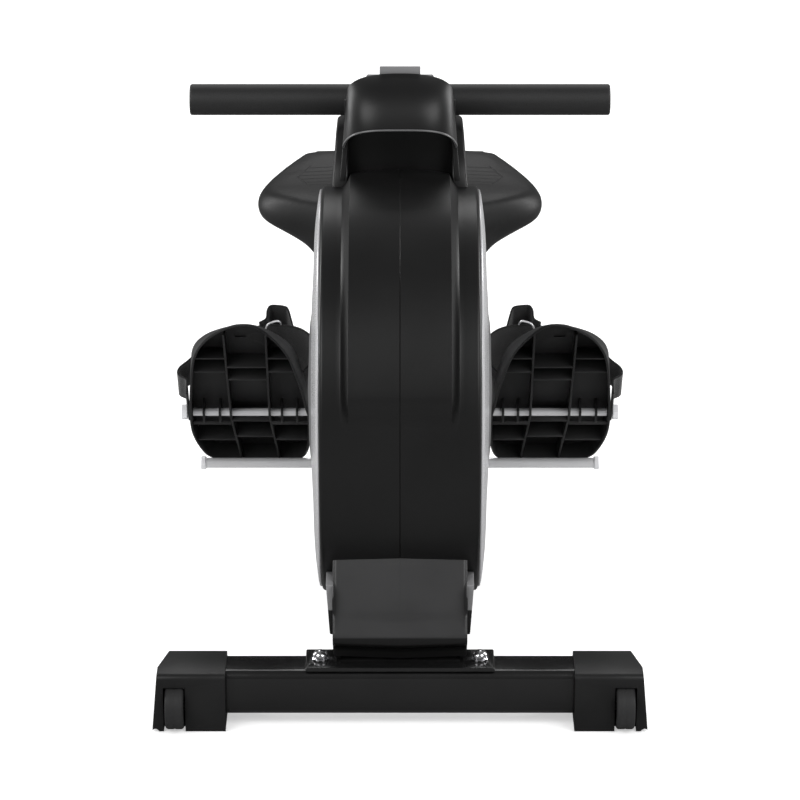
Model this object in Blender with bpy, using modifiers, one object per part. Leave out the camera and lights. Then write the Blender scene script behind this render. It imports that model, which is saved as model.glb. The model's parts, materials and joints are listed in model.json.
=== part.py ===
"""A folding magnetic rowing machine, one object per physical piece, in metres with +Z up.

Everything is laid out on a bench whose Y runs back from the front stabiliser's centre line and whose Z
starts at the floor. The empty named machine then moves that bench so that the object stands on its middle.
"""

import math

import bmesh
import bpy
from mathutils import Matrix, Vector

# Fits and wall sizes
GAP = 0.0003
SHEET = 0.004
PLASTIC = 0.003
BIG_STEPS = 48
MID_STEPS = 24
SMALL_STEPS = 16

# Length of the machine
FRONT_Y = -0.052
REAR_Y = 1.745
MID_Y = (FRONT_Y + REAR_Y) / 2

# Front stabiliser, its caps and its transport wheels
STAB_SIDE = 0.050
STAB_HALF = 0.222
STAB_Z = 0.0385
STAB_WALL = 0.002
STAB_ROUND = 0.009
CAP_INNER = 0.1846
CAP_OUTER = 0.2632
CAP_FRONT = -0.037
CAP_BACK = 0.030
CAP_TOP = 0.066
WHEEL_R = 0.025
WHEEL_X = 0.2382
WHEEL_WIDTH = 0.0196
WHEEL_Y = FRONT_Y + WHEEL_R
WHEEL_Z = 0.0265
WHEEL_AXLE_R = 0.004
SLOT_IN = 0.2270
SLOT_OUT = 0.2500

# Base plate and its two bolts
BASE_HALF = 0.100
BASE_DEPTH = 0.048
BASE_Z = STAB_Z + STAB_SIDE / 2 + GAP
BASE_THICK = 0.005
BOLT_X = 0.0846
BOLT_R = 0.004
NUT_R = 0.0078
WASHER_R = 0.0085

# Round casing
DRUM_Y = 0.200
DRUM_Z = 0.300
DRUM_R = 0.2204
DRUM_HALF = 0.084
DRUM_FILLET = 0.008
SPINE_R = 0.238
SPINE_HALF = 0.0525
SPINE_FOOT = 0.0616
DISC_R = 0.2125
HUB_R = 0.1077
LEG_HALF = 0.0712
EAR_IN = 0.0725
EAR_OUT = 0.079
STRAP_SLOT_HALF = 0.020

# Chassis inside the casing
PLATE_IN = 0.0635
BEAM_HALF = 0.0205
BEAM_LOW = 0.120
BEAM_HIGH = 0.180
BEAM_FRONT = 0.046
BEAM_BACK = 0.475
BEAM_WALL = 0.0025
FORK_THICK = 0.005
AXLE_R = 0.006
FLY_AXLE_R = 0.006
FLY_R = 0.150
FLY_IN = 0.028
FLY_OUT = 0.050
PULLEY_X0 = -0.040
PULLEY_X1 = -0.024
SMALL_PULLEY_R = 0.018
BELT_PULLEY_R = 0.060
BELT_THICK = 0.002
REEL_Y = 0.250
REEL_Z = 0.400
REEL_HALF = 0.016
REEL_SHAFT_R = 0.007
BRAKE_Y = 0.352
BRAKE_Z = 0.270
BRAKE_OPEN = math.radians(6)

# Pull strap, guide roller and handlebar
STRAP_HALF = 0.0125
STRAP_THICK = 0.0016
GUIDE_Y = 0.290
GUIDE_Z = 0.5695
GUIDE_R = 0.012
REEL_R = GUIDE_Y - GUIDE_R - STRAP_THICK - 2 * GAP - REEL_Y
BAR_Y = 0.330
BAR_Z = 0.588
BAR_R = 0.011
GRIP_R = 0.017
GRIP_START = 0.030
BAR_HALF = 0.2298
PULL_RISE = math.radians(9)

# Head above the casing
HEAD_WALL = 0.003
HEAD_BACK = 0.3095
NECK_FRONT = 0.270
ARM_TOP = BAR_Z - GRIP_R - 2 * GAP
CONSOLE_HALF = 0.036
TAB_HALF = 0.0225
SLOPE_DOWN = Vector((0.0, 0.852, -0.523))
SLOPE_OUT = Vector((0.0, 0.523, 0.852))
SLOPE_START = Vector((0.0, 0.252, 0.6402))

# Tension knob
KNOB_LEAN = math.radians(38)
KNOB_R = 0.022
KNOB_TALL = 0.022
KNOB_SHAFT_R = 0.005

# Footplates, their axle and the heel bar
PEDAL_Y = 0.410
PEDAL_Z = 0.190
PEDAL_X = 0.173
PEDAL_LEAN = math.radians(54)
PEDAL_INNER = 0.1038
BOSS_IN = 0.0978
BOSS_OUT = 0.2440
CLIP_X = (0.1187, 0.1360, 0.2075, 0.2260)
AXLE_SLEEVE = 0.097
AXLE_SLEEVE_R = 0.009
HEEL_Y = 0.445
HEEL_Z = 0.1125
HEEL_R = 0.006
HEEL_HALF = 0.2271
HEEL_SLEEVE_R = 0.008

# Hinge, rail and rear foot
HINGE_Y = 0.520
HINGE_Z = 0.195
PIVOT_R = 0.006
TONGUE_HALF = 0.020
LOCK_OFFSET = 0.016
LOCK_R = 0.004
RAIL_START = 0.548
RAIL_TOP = 0.202
RAIL_LOW = 0.160
FLANGE_HALF = 0.042
FLANGE_THICK = 0.005
BOX_HALF = 0.024
BOX_WALL = 0.003
REAR_FOOT_Y = 1.700
REAR_HALF = 0.150

# Seat and its carriage
SEAT_Y = 0.885
CARRIAGE_LONG = 0.190
CARRIAGE_HALF = 0.0475
ROLLER_R = 0.013
ROLLER_Y = 0.065
LOWER_R = 0.009
LOWER_Y = 0.045
ROLLER_AXLE_R = 0.004
SEAT_BASE_Z = 0.2368

for old in list(bpy.data.objects):
    bpy.data.objects.remove(old, do_unlink=True)
PARTS = bpy.data.collections.new("rowing_machine")
CUTTERS = bpy.data.collections.new("cutters")
bpy.context.scene.collection.children.link(PARTS)
bpy.context.scene.collection.children.link(CUTTERS)
X = Vector((1.0, 0.0, 0.0))
Y = Vector((0.0, 1.0, 0.0))
Z = Vector((0.0, 0.0, 1.0))


# Helpers that make shapes, all in bench coordinates
def place(origin, u, w):
    """A matrix whose local X is u, local Z is w, at an origin."""
    w = w.normalized()
    u = u.normalized()
    v = w.cross(u)
    rows = Matrix((u, v, w)).transposed().to_4x4()
    return Matrix.Translation(origin) @ rows


def from_bmesh(bm, matrix=None):
    bmesh.ops.recalc_face_normals(bm, faces=bm.faces)
    if matrix is not None:
        bm.transform(matrix)
    mesh = bpy.data.meshes.new("shape")
    bm.to_mesh(mesh)
    bm.free()
    obj = bpy.data.objects.new("shape", mesh)
    CUTTERS.objects.link(obj)
    return obj


def realised(obj, matrix=None):
    """The object's evaluated mesh as a new object, welded, with the old one removed."""
    graph = bpy.context.evaluated_depsgraph_get()
    mesh = bpy.data.meshes.new_from_object(obj.evaluated_get(graph))
    bpy.data.objects.remove(obj, do_unlink=True)
    bm = bmesh.new()
    bm.from_mesh(mesh)
    bpy.data.meshes.remove(mesh)
    bmesh.ops.remove_doubles(bm, verts=bm.verts, dist=1e-6)
    return from_bmesh(bm, matrix)


def bevelled(obj, width, segments=1, angle=40):
    modifier = obj.modifiers.new("edge", "BEVEL")
    modifier.width = width
    modifier.segments = segments
    modifier.limit_method = "ANGLE"
    modifier.angle_limit = math.radians(angle)
    return obj


def block(x, y, z, bevel=0.0, segments=1):
    """A box between pairs of coordinates."""
    bm = bmesh.new()
    bmesh.ops.create_cube(bm, size=1.0)
    size = Vector((x[1] - x[0], y[1] - y[0], z[1] - z[0]))
    middle = Vector((x[1] + x[0], y[1] + y[0], z[1] + z[0])) / 2
    obj = from_bmesh(bm, Matrix.Translation(middle) @ Matrix.Diagonal(size).to_4x4())
    return bevelled(obj, bevel, segments) if bevel else obj


def rod(start, end, radius, steps=SMALL_STEPS, bevel=0.0):
    """A round bar between two points."""
    start = Vector(start)
    end = Vector(end)
    axis = end - start
    bm = bmesh.new()
    bmesh.ops.create_cone(
        bm, cap_ends=True, segments=steps, radius1=radius, radius2=radius, depth=axis.length
    )
    side = Y if abs(axis.normalized().dot(X)) > 0.9 else X
    side = side - axis.normalized() * side.dot(axis.normalized())
    obj = from_bmesh(bm, place((start + end) / 2, side, axis))
    return bevelled(obj, bevel) if bevel else obj


def turned(profile, origin, axis=X, steps=MID_STEPS, side=None, closed=False):
    """A profile of (along, radius) pairs swept round an axis with a Screw."""
    mesh = bpy.data.meshes.new("profile")
    edges = [(i, i + 1) for i in range(len(profile) - 1)]
    if closed:
        edges.append((len(profile) - 1, 0))
    mesh.from_pydata([(radius, 0.0, along) for along, radius in profile], edges, [])
    obj = bpy.data.objects.new("profile", mesh)
    CUTTERS.objects.link(obj)
    screw = obj.modifiers.new("turn", "SCREW")
    screw.axis = "Z"
    screw.steps = steps
    screw.render_steps = steps
    screw.use_merge_vertices = True
    screw.merge_threshold = 0.00005
    if side is None:
        side = Y if abs(axis.normalized().dot(X)) > 0.9 else X
    side = side - axis.normalized() * side.dot(axis.normalized())
    return realised(obj, place(Vector(origin), side, axis))


def extruded(outlines, origin, u, v, span, bevel=0.0):
    """Outlines in the plane of u and v, given a thickness between two places along u cross v."""
    curve = bpy.data.curves.new("outline", "CURVE")
    curve.dimensions = "2D"
    curve.fill_mode = "BOTH"
    curve.extrude = (span[1] - span[0]) / 2 - bevel
    curve.bevel_depth = bevel
    curve.bevel_resolution = 1
    curve.offset = -bevel
    for outline in outlines:
        spline = curve.splines.new("POLY")
        spline.points.add(len(outline) - 1)
        for point, (a, b) in zip(spline.points, outline):
            point.co = (a, b, 0.0, 1.0)
        spline.use_cyclic_u = True
    obj = bpy.data.objects.new("outline", curve)
    CUTTERS.objects.link(obj)
    w = u.cross(v).normalized()
    middle = Vector(origin) + w * (span[0] + span[1]) / 2
    return realised(obj, place(middle, u, w))


def side_plate(outlines, x, bevel=0.0):
    """Outlines of (y, z) pairs given a thickness along X."""
    return extruded(outlines, (0, 0, 0), Y, Z, x, bevel)


def loft(sections):
    """A skin of triangles over loops of equal length, closed at both ends."""
    bm = bmesh.new()
    rings = [[bm.verts.new(point) for point in section] for section in sections]
    count = len(rings[0])
    for first, second in zip(rings, rings[1:]):
        for i in range(count):
            j = (i + 1) % count
            bm.faces.new((first[i], first[j], second[j], second[i]))
    bm.faces.new(rings[0])
    bm.faces.new(rings[-1])
    bmesh.ops.triangulate(bm, faces=bm.faces)
    return from_bmesh(bm)


def rounded(points, radius, steps=4):
    """A polygon with each corner turned into an arc. The radius is one value or one per corner."""
    radii = radius if isinstance(radius, (list, tuple)) else [radius] * len(points)
    found = []
    for i, corner in enumerate(points):
        corner = Vector(corner)
        if radii[i] <= 0:
            found.append(tuple(corner))
            continue
        before = (Vector(points[i - 1]) - corner).normalized()
        after = (Vector(points[(i + 1) % len(points)]) - corner).normalized()
        half = before.angle(after) / 2
        middle = corner + (before + after).normalized() * radii[i] / math.sin(half)
        first = corner + before * radii[i] / math.tan(half) - middle
        last = corner + after * radii[i] / math.tan(half) - middle
        turn = first.angle_signed(last)
        for k in range(steps + 1):
            angle = -turn * k / steps
            spun = Matrix.Rotation(angle, 2) @ first
            found.append(tuple(middle + spun))
    return found


def box_outline(a, b):
    return [(a[0], b[0]), (a[1], b[0]), (a[1], b[1]), (a[0], b[1])]


def ring_points(centre, radius, start, end, count):
    """Points on an arc, with angles in degrees from the first axis towards the second."""
    found = []
    for k in range(count + 1):
        angle = math.radians(start + (end - start) * k / count)
        found.append((centre[0] + radius * math.cos(angle), centre[1] + radius * math.sin(angle)))
    return found


def boolean(obj, others, operation):
    for other in others:
        modifier = obj.modifiers.new(operation.lower(), "BOOLEAN")
        modifier.operation = operation
        modifier.solver = "EXACT"
        modifier.object = other
    return obj


def cut(obj, *others):
    return boolean(obj, others, "DIFFERENCE")


def union(obj, *others):
    return boolean(obj, others, "UNION")


def common(obj, *others):
    return boolean(obj, others, "INTERSECT")


def mirrored(obj):
    """A copy of an object and of its cutters on the other side of X = 0."""
    mesh = obj.data.copy()
    mesh.transform(Matrix.Scale(-1.0, 4, X))
    mesh.flip_normals()
    copy = bpy.data.objects.new("shape", mesh)
    CUTTERS.objects.link(copy)
    for modifier in obj.modifiers:
        new = copy.modifiers.new(modifier.name, modifier.type)
        if modifier.type == "BOOLEAN":
            new.operation = modifier.operation
            new.solver = "EXACT"
            new.object = mirrored(modifier.object)
        else:
            new.width = modifier.width
            new.segments = modifier.segments
            new.limit_method = modifier.limit_method
            new.angle_limit = modifier.angle_limit
    return copy


# Materials
def material(name, colour, roughness, metallic):
    made = bpy.data.materials.new(name)
    made.use_nodes = True
    shader = made.node_tree.nodes["Principled BSDF"]
    shader.inputs["Base Color"].default_value = (*colour, 1.0)
    shader.inputs["Roughness"].default_value = roughness
    shader.inputs["Metallic"].default_value = metallic
    made.diffuse_color = (*colour, 1.0)
    return made


BLACK_PAINT = ((0.02, 0.02, 0.022), 0.3, 0.0)
BLACK_CASE = ((0.012, 0.012, 0.013), 0.5, 0.0)
DARK_COVER = ((0.07, 0.07, 0.075), 0.42, 0.0)
SILVER_PLASTIC = ((0.62, 0.63, 0.65), 0.3, 0.5)
GREY_PLASTIC = ((0.28, 0.29, 0.3), 0.45, 0.0)
LIGHT_PLASTIC = ((0.6, 0.61, 0.62), 0.45, 0.0)
SCREEN = ((0.015, 0.02, 0.02), 0.15, 0.0)
CHROME = ((0.8, 0.8, 0.82), 0.12, 1.0)
STEEL = ((0.5, 0.51, 0.52), 0.35, 1.0)
ALUMINIUM = ((0.62, 0.63, 0.64), 0.35, 1.0)
FOAM = ((0.015, 0.015, 0.016), 0.85, 0.0)
WEBBING = ((0.02, 0.02, 0.021), 0.8, 0.0)
RUBBER = ((0.03, 0.03, 0.032), 0.7, 0.0)
VINYL = ((0.03, 0.03, 0.032), 0.55, 0.0)
IRON = ((0.12, 0.12, 0.125), 0.5, 0.8)


# Bodies: each moving group hangs on an empty that stands on its joint axis
machine = bpy.data.objects.new("machine", None)
machine.location = (0.0, -MID_Y, 0.0)
PARTS.objects.link(machine)


def body(name, at, parent=None):
    empty = bpy.data.objects.new(name, None)
    empty.empty_display_size = 0.03
    PARTS.objects.link(empty)
    empty.parent = parent[0] if parent else machine
    empty.location = Vector(at) - (parent[1] if parent else Vector((0, 0, 0)))
    return (empty, Vector(at))


def settle(obj, holder):
    """Hangs an object and its cutters on a body, with the origin on that body's axis."""
    empty, at = holder if holder else (machine, Vector((0, 0, 0)))
    obj.data.transform(Matrix.Translation(-at))
    obj.parent = empty
    for modifier in obj.modifiers:
        if modifier.type == "BOOLEAN":
            settle(modifier.object, holder)


def piece(name, obj, look, holder=None):
    obj.name = name
    obj.data.name = name
    CUTTERS.objects.unlink(obj)
    PARTS.objects.link(obj)
    obj.data.materials.clear()
    obj.data.materials.append(material(name, *look))
    settle(obj, holder)
    return obj


def pair(name, obj, look, holders=(None, None)):
    """The right piece as made, and its mirror image on the left."""
    left = mirrored(obj)
    piece(name + "_left", left, look, holders[0])
    piece(name + "_right", obj, look, holders[1])


# Front stabiliser: a rounded square tube with holes for the two base bolts
STAB_LOW = STAB_Z - STAB_SIDE / 2
half = STAB_SIDE / 2
outer = box_outline((-half, half), (STAB_Z - half, STAB_Z + half))
inside = box_outline(
    (STAB_WALL - half, half - STAB_WALL), (STAB_Z - half + STAB_WALL, STAB_Z + half - STAB_WALL)
)
stabiliser = side_plate(
    [rounded(outer, STAB_ROUND), rounded(inside, STAB_ROUND - STAB_WALL)], (-STAB_HALF, STAB_HALF)
)
for side in (-1, 1):
    hole = rod((side * BOLT_X, 0, 0), (side * BOLT_X, 0, 0.08), BOLT_R + GAP)
    cut(stabiliser, hole)
piece("front_stabiliser", stabiliser, BLACK_PAINT)


# End caps: moulded blocks with a wheel slot open to the front
def front_cap():
    side_view = box_outline((CAP_FRONT, CAP_BACK), (0.0, CAP_TOP))
    obj = side_plate([rounded(side_view, [0.003, 0.003, 0.006, 0.006], 3)], (CAP_INNER, CAP_OUTER))
    lean = [(CAP_OUTER, -0.01), (0.3, -0.01), (0.3, 0.1), (0.2520, 0.1), (CAP_OUTER - 0.0066, CAP_TOP)]
    cut(obj, extruded([lean], (0, 0, 0), X, Z, (-0.1, 0.1)))
    corner = [(CAP_OUTER - 0.005, -0.022), (0.3, -0.02), (0.3, 0.05), (0.2454, 0.05), (0.2454, CAP_BACK)]
    cut(obj, extruded([corner], (0, 0, 0), X, Y, (-0.02, 0.1)))
    pocket_half = STAB_SIDE / 2 + GAP
    pocket = rounded(
        box_outline((-pocket_half, pocket_half), (STAB_Z - pocket_half, STAB_Z + pocket_half)),
        STAB_ROUND,
    )
    cut(obj, side_plate([pocket], (0.1, STAB_HALF + GAP)))
    cut(obj, block((SLOT_IN, SLOT_OUT), (-0.06, WHEEL_Y), (-0.01, 0.045)))
    cut(obj, rod((SLOT_IN, WHEEL_Y, WHEEL_Z), (SLOT_OUT, WHEEL_Y, WHEEL_Z), WHEEL_R + 0.002, 28))
    notch = ring_points((0.2590, 0.0), 0.004, 0, 180, 8)
    cut(obj, extruded([notch], (0, 0, 0), X, Z, (0.02, 0.06)))
    union(obj, rod((SLOT_IN - 0.001, WHEEL_Y, WHEEL_Z), (SLOT_OUT + 0.001, WHEEL_Y, WHEEL_Z), WHEEL_AXLE_R))
    return obj


pair("front_cap", front_cap(), BLACK_CASE)


def transport_wheel():
    low = WHEEL_X - WHEEL_WIDTH / 2
    high = WHEEL_X + WHEEL_WIDTH / 2
    bore = WHEEL_AXLE_R + GAP
    profile = [
        (low, bore),
        (low, WHEEL_R - 0.002),
        (low + 0.002, WHEEL_R),
        (high - 0.002, WHEEL_R),
        (high, WHEEL_R - 0.002),
        (high, bore),
    ]
    return turned(profile, (0, WHEEL_Y, WHEEL_Z), closed=True)


WHEEL_RIGHT = body("wheel_right_axis", (WHEEL_X, WHEEL_Y, WHEEL_Z))
WHEEL_LEFT = body("wheel_left_axis", (-WHEEL_X, WHEEL_Y, WHEEL_Z))
pair("transport_wheel", transport_wheel(), RUBBER, (WHEEL_LEFT, WHEEL_RIGHT))

# Base plate under the chassis, bolted down through the stabiliser
BASE_TOP = BASE_Z + BASE_THICK
plate = block((-BASE_HALF, BASE_HALF), (-BASE_DEPTH / 2, BASE_DEPTH / 2), (BASE_Z, BASE_TOP), 0.001)
cut(plate, rod((-BOLT_X, 0, 0.05), (-BOLT_X, 0, 0.08), BOLT_R + GAP))
cut(plate, rod((BOLT_X, 0, 0.05), (BOLT_X, 0, 0.08), BOLT_R + GAP))
piece("leg_bracket", plate, BLACK_PAINT)


def base_bolt():
    top = BASE_TOP + GAP
    profile = [
        (STAB_LOW - 0.0040, 0.0),
        (STAB_LOW - 0.0035, 0.006),
        (STAB_LOW - GAP, 0.008),
        (STAB_LOW - GAP, BOLT_R),
        (top, BOLT_R),
        (top, WASHER_R),
        (top + 0.0014, WASHER_R),
        (top + 0.0014, NUT_R),
        (top + 0.0065, NUT_R),
        (top + 0.0090, NUT_R * 0.86),
        (top + 0.0112, NUT_R * 0.55),
        (top + 0.0120, 0.0),
    ]
    return turned(profile, (BOLT_X, 0, 0), Z, 16)


pair("base_bolt", base_bolt(), CHROME)

# Chassis plates: two flat sheets that lean back from the base plate into the casing
PLATE_OUTLINE = [
    (-0.003, BASE_TOP + GAP),
    (0.022, BASE_TOP + GAP),
    (0.050, 0.112),
    (0.072, 0.134),
    (0.330, 0.140),
    (0.385, 0.220),
    (0.390, 0.290),
    (0.300, 0.440),
    (0.200, 0.445),
    (0.110, 0.330),
    (0.036, 0.190),
    (0.024, 0.160),
    (0.004, 0.125),
    (-0.003, 0.095),
]
plate = side_plate([rounded(PLATE_OUTLINE, 0.003, 2)], (PLATE_IN, PLATE_IN + SHEET))
BORES = (
    (DRUM_Y, DRUM_Z, FLY_AXLE_R),
    (REEL_Y, REEL_Z, REEL_SHAFT_R),
    (BRAKE_Y, BRAKE_Z, 0.005),
)
for y, z, radius in BORES:
    cut(plate, rod((PLATE_IN - 0.01, y, z), (PLATE_IN + 0.02, y, z), radius + GAP))
pair("chassis_plate", plate, BLACK_PAINT)

# Main beam: a tube with a cross plate in front, two sleeves and the fork of the hinge behind
half = BEAM_HALF
inner = half - BEAM_WALL
beam = extruded(
    [
        rounded(box_outline((-half, half), (BEAM_LOW, BEAM_HIGH)), 0.004, 3),
        rounded(box_outline((-inner, inner), (BEAM_LOW + BEAM_WALL, BEAM_HIGH - BEAM_WALL)), 0.002, 2),
    ],
    (0, 0, 0),
    X,
    Z,
    (-BEAM_BACK, -BEAM_FRONT),
)
cross = block(
    (-PLATE_IN + GAP, PLATE_IN - GAP),
    (BEAM_FRONT, BEAM_FRONT + SHEET),
    (BEAM_LOW - 0.005, BEAM_HIGH + 0.005),
)
union(beam, cross)
saddle = block(
    (0.001 - half, half - 0.001),
    (PEDAL_Y - 0.014, PEDAL_Y + 0.014),
    (BEAM_HIGH - 0.003, PEDAL_Z - 0.002),
)
union(beam, saddle)
union(beam, rod((-AXLE_SLEEVE, PEDAL_Y, PEDAL_Z), (AXLE_SLEEVE, PEDAL_Y, PEDAL_Z), AXLE_SLEEVE_R, 16))
hanger = block(
    (0.001 - half, half - 0.001),
    (HEEL_Y - 0.012, HEEL_Y + 0.012),
    (HEEL_Z + 0.002, BEAM_LOW + 0.0023),
)
union(beam, hanger)
union(beam, rod((-0.060, HEEL_Y, HEEL_Z), (0.060, HEEL_Y, HEEL_Z), HEEL_SLEEVE_R, 16))
FORK_OUTLINE = [
    (0.425, BEAM_LOW + 0.008),
    (0.480, BEAM_LOW + 0.008),
    (0.546, 0.166),
    (0.5466, 0.197),
    (0.5425, 0.2095),
    (0.534, 0.2180),
    (0.520, 0.2215),
    (0.506, 0.2175),
    (0.470, 0.186),
    (0.455, BEAM_HIGH - 0.008),
    (0.425, BEAM_HIGH - 0.008),
]
for side in (-1, 1):
    near = side * (half - 0.0002)
    far = side * (half - 0.0002 + FORK_THICK)
    union(beam, side_plate([rounded(FORK_OUTLINE, 0.003, 2)], (min(near, far), max(near, far))))
LOCK_Y = HINGE_Y + LOCK_OFFSET
LOCK_Z = HINGE_Z - LOCK_OFFSET
FORK_OUT = half - 0.0002 + FORK_THICK
union(beam, rod((FORK_OUT - 0.001, LOCK_Y, LOCK_Z), (0.040, LOCK_Y, LOCK_Z), 0.008, 24))
cut(beam, rod((0.015, LOCK_Y, LOCK_Z), (0.05, LOCK_Y, LOCK_Z), LOCK_R + GAP))
cut(beam, rod((-0.05, HINGE_Y, HINGE_Z), (0.05, HINGE_Y, HINGE_Z), PIVOT_R + GAP, 24))
cut(beam, rod((-0.11, PEDAL_Y, PEDAL_Z), (0.11, PEDAL_Y, PEDAL_Z), AXLE_R + GAP, 16))
cut(beam, rod((-0.11, HEEL_Y, HEEL_Z), (0.11, HEEL_Y, HEEL_Z), HEEL_R + GAP, 16))
piece("main_beam", beam, BLACK_PAINT)

# Middle foot: a short post under the beam with a bar and two rubber shoes in one piece
foot = block((-0.018, 0.018), (0.362, 0.398), (0.028, BEAM_LOW - GAP), 0.002)
union(foot, block((-0.080, 0.080), (0.362, 0.398), (0.010, 0.034), 0.004))
for side in (-1, 1):
    shoe = sorted((side * 0.050, side * 0.082))
    union(foot, block(shoe, (0.360, 0.400), (0.0, 0.014), 0.002))
piece("middle_foot", foot, BLACK_PAINT)


# Casing: two halves of a drum with a raised front spine, ears beside the leg and openings
def casing():
    edge = DRUM_HALF - DRUM_FILLET
    low = DRUM_R - DRUM_FILLET
    fillet = ring_points((edge, low), DRUM_FILLET, 90, 0, 3)
    profile = [(DRUM_HALF, 0.0)] + fillet[::-1] + [(GAP / 2, DRUM_R)]
    profile += [(GAP / 2, DRUM_R - PLASTIC), (edge, DRUM_R - PLASTIC)]
    profile += [(DRUM_HALF - PLASTIC, low), (DRUM_HALF - PLASTIC, 0.0)]
    obj = turned(profile, (0, DRUM_Y, DRUM_Z), X, BIG_STEPS, side=Y)
    return obj


def spine_ring():
    profile = [
        (GAP / 2, DRUM_R - 0.001),
        (GAP / 2, SPINE_R),
        (SPINE_HALF - 0.004, SPINE_R),
        (SPINE_HALF, SPINE_R - 0.003),
        (SPINE_FOOT, DRUM_R - 0.001),
    ]
    ring = turned(profile, (0, DRUM_Y, DRUM_Z), X, BIG_STEPS, closed=True, side=Y)
    wedge = [(DRUM_Y, DRUM_Z)]
    wedge += [(DRUM_Y - 0.26, DRUM_Z + 0.052), (DRUM_Y - 0.26, 0.60), (DRUM_Y + 0.11, 0.60)]
    return common(ring, side_plate([wedge], (-0.001, 0.08)))


shell = casing()
union(shell, spine_ring())
ear = [(0.040, 0.152), (0.008, 0.154), (-0.008, 0.122), (-0.009, 0.108), (0.000, 0.099), (0.030, 0.099)]
ear += [(0.078, 0.118), (0.060, 0.140)]
union(shell, side_plate([rounded(ear, 0.003, 2)], (EAR_IN, EAR_OUT)))
LEG_OPENING = [(-0.05, 0.05), (-0.05, 0.173), (0.040, 0.173), (0.078, 0.150), (0.078, 0.05)]
cut(shell, side_plate([LEG_OPENING], (-0.01, PLATE_IN + SHEET + 0.0012)))
clear = BEAM_HALF + 0.0007
for y in ((0.05, 0.10), (0.29, 0.44)):
    cut(shell, block((-clear, clear), y, (BEAM_LOW - 0.0007, BEAM_HIGH + 0.0007)))
cut(shell, block((-0.01, STRAP_SLOT_HALF), (0.262, 0.295), (0.49, 0.56)))
KNOB_OUT = Vector((0.0, math.sin(KNOB_LEAN), math.cos(KNOB_LEAN)))
KNOB_BASE = Vector((0.0, DRUM_Y, DRUM_Z)) + KNOB_OUT * (DRUM_R + GAP)
cut(shell, rod(KNOB_BASE - KNOB_OUT * 0.03, KNOB_BASE + KNOB_OUT * 0.02, KNOB_SHAFT_R + GAP))
pair("casing", shell, BLACK_CASE)

# Leg cover: a thin shell round the chassis plates, with a shallow V front rounded under at the bottom
WALL = 0.0025
skin = [(0.0205, 0.1765), (-0.0200, 0.103), (-0.0195, 0.096), (-0.0150, 0.0898), (-0.0060, 0.0868)]
skin += [(-0.0060, 0.0892), (-0.0134, 0.0918), (-0.0170, 0.0970), (-0.0172, 0.1028), (0.0235, 0.1765)]
cover = side_plate([skin], (-LEG_HALF, LEG_HALF))
flank = [(0.0210, 0.1765), (-0.0195, 0.103), (-0.0190, 0.0965), (-0.0148, 0.0903), (-0.0062, 0.0870)]
flank += [(0.0350, 0.0870), (0.0700, 0.1050), (0.0900, 0.1400), (0.0500, 0.1765)]
for side in (-1, 1):
    near = side * (LEG_HALF - WALL)
    far = side * LEG_HALF
    union(cover, side_plate([flank], (min(near, far), max(near, far))))
lean = Vector((0, 0.0405, 0.0735)).normalized()
away = X.cross(lean)
ridge = [(-LEG_HALF + 0.0002, -0.0008), (LEG_HALF - 0.0002, -0.0008), (LEG_HALF - 0.0002, 0.0002)]
ridge += [(0.0, 0.0036), (-LEG_HALF + 0.0002, 0.0002)]
union(cover, extruded([ridge], (0, -0.0200, 0.103), X, away, (-0.0836, -0.001)))
cut(cover, turned(
    [(-0.09, 0.0), (-0.09, DRUM_R + GAP), (0.09, DRUM_R + GAP), (0.09, 0.0)],
    (0, DRUM_Y, DRUM_Z), X, BIG_STEPS, side=Y,
))
piece("leg_cover", cover, DARK_COVER)


# Side discs and hub domes: thin turned mouldings on the flat sides of the casing
def side_disc():
    x = DRUM_HALF + GAP
    outer = [
        (x, DISC_R),
        (x + 0.0027, DISC_R),
        (x + 0.0042, 0.2090),
        (x + 0.0068, 0.1830),
        (x + 0.0075, 0.1600),
        (x + 0.0103, 0.1100),
        (x + 0.0103, HUB_R + GAP),
    ]
    inner = [
        (x + 0.0078, HUB_R + GAP),
        (x + 0.0046, 0.1700),
        (x + 0.0019, 0.2070),
        (x, 0.2090),
    ]
    return turned(outer + inner, (0, DRUM_Y, DRUM_Z), X, BIG_STEPS, side=Y, closed=True)


pair("side_disc", side_disc(), SILVER_PLASTIC)


def hub_dome():
    x = DRUM_HALF + GAP
    profile = [
        (x + 0.0162, 0.0),
        (x + 0.0139, 0.0530),
        (x + 0.0133, 0.0710),
        (x + 0.0103, 0.0900),
        (x + 0.0103, HUB_R - 0.001),
        (x + 0.0093, HUB_R),
        (x, HUB_R),
        (x, HUB_R - WALL),
        (x + 0.0078, HUB_R - WALL),
        (x + 0.0078, 0.0892),
        (x + 0.0108, 0.0700),
        (x + 0.0137, 0.0),
    ]
    return turned(profile, (0, DRUM_Y, DRUM_Z), X, 32, side=Y)


pair("hub_dome", hub_dome(), GREY_PLASTIC)


# Head: a hood over a recessed neck, two side walls and two arms that carry the handlebar
def head_spread(z):
    return 1.0 + (0.620 - z) * 1.55


def head_section(x, lip_y, lip_z, top_z, inset):
    """One loop of points at a place across the head, from the lip over the top and down the back."""
    slope_z = top_z - 0.035
    loop = [
        (x, lip_y + inset, lip_z + inset),
        (x, (lip_y + 0.250) / 2 - 0.008 + inset, (lip_z + top_z) / 2 + 0.006 - inset * 0.5),
        (x, 0.252 + inset * 0.3, top_z - inset),
        (x, HEAD_BACK - inset, slope_z - inset * 0.6),
        (x, HEAD_BACK - inset, 0.560),
        (x, HEAD_BACK - inset, 0.485),
        (x, 0.240 + inset, 0.485),
        (x, 0.242 + inset, 0.530),
        (x, 0.2515 + inset, 0.5490 + inset),
    ]
    return [(px * head_spread(pz), py, pz) for px, py, pz in loop]


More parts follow.
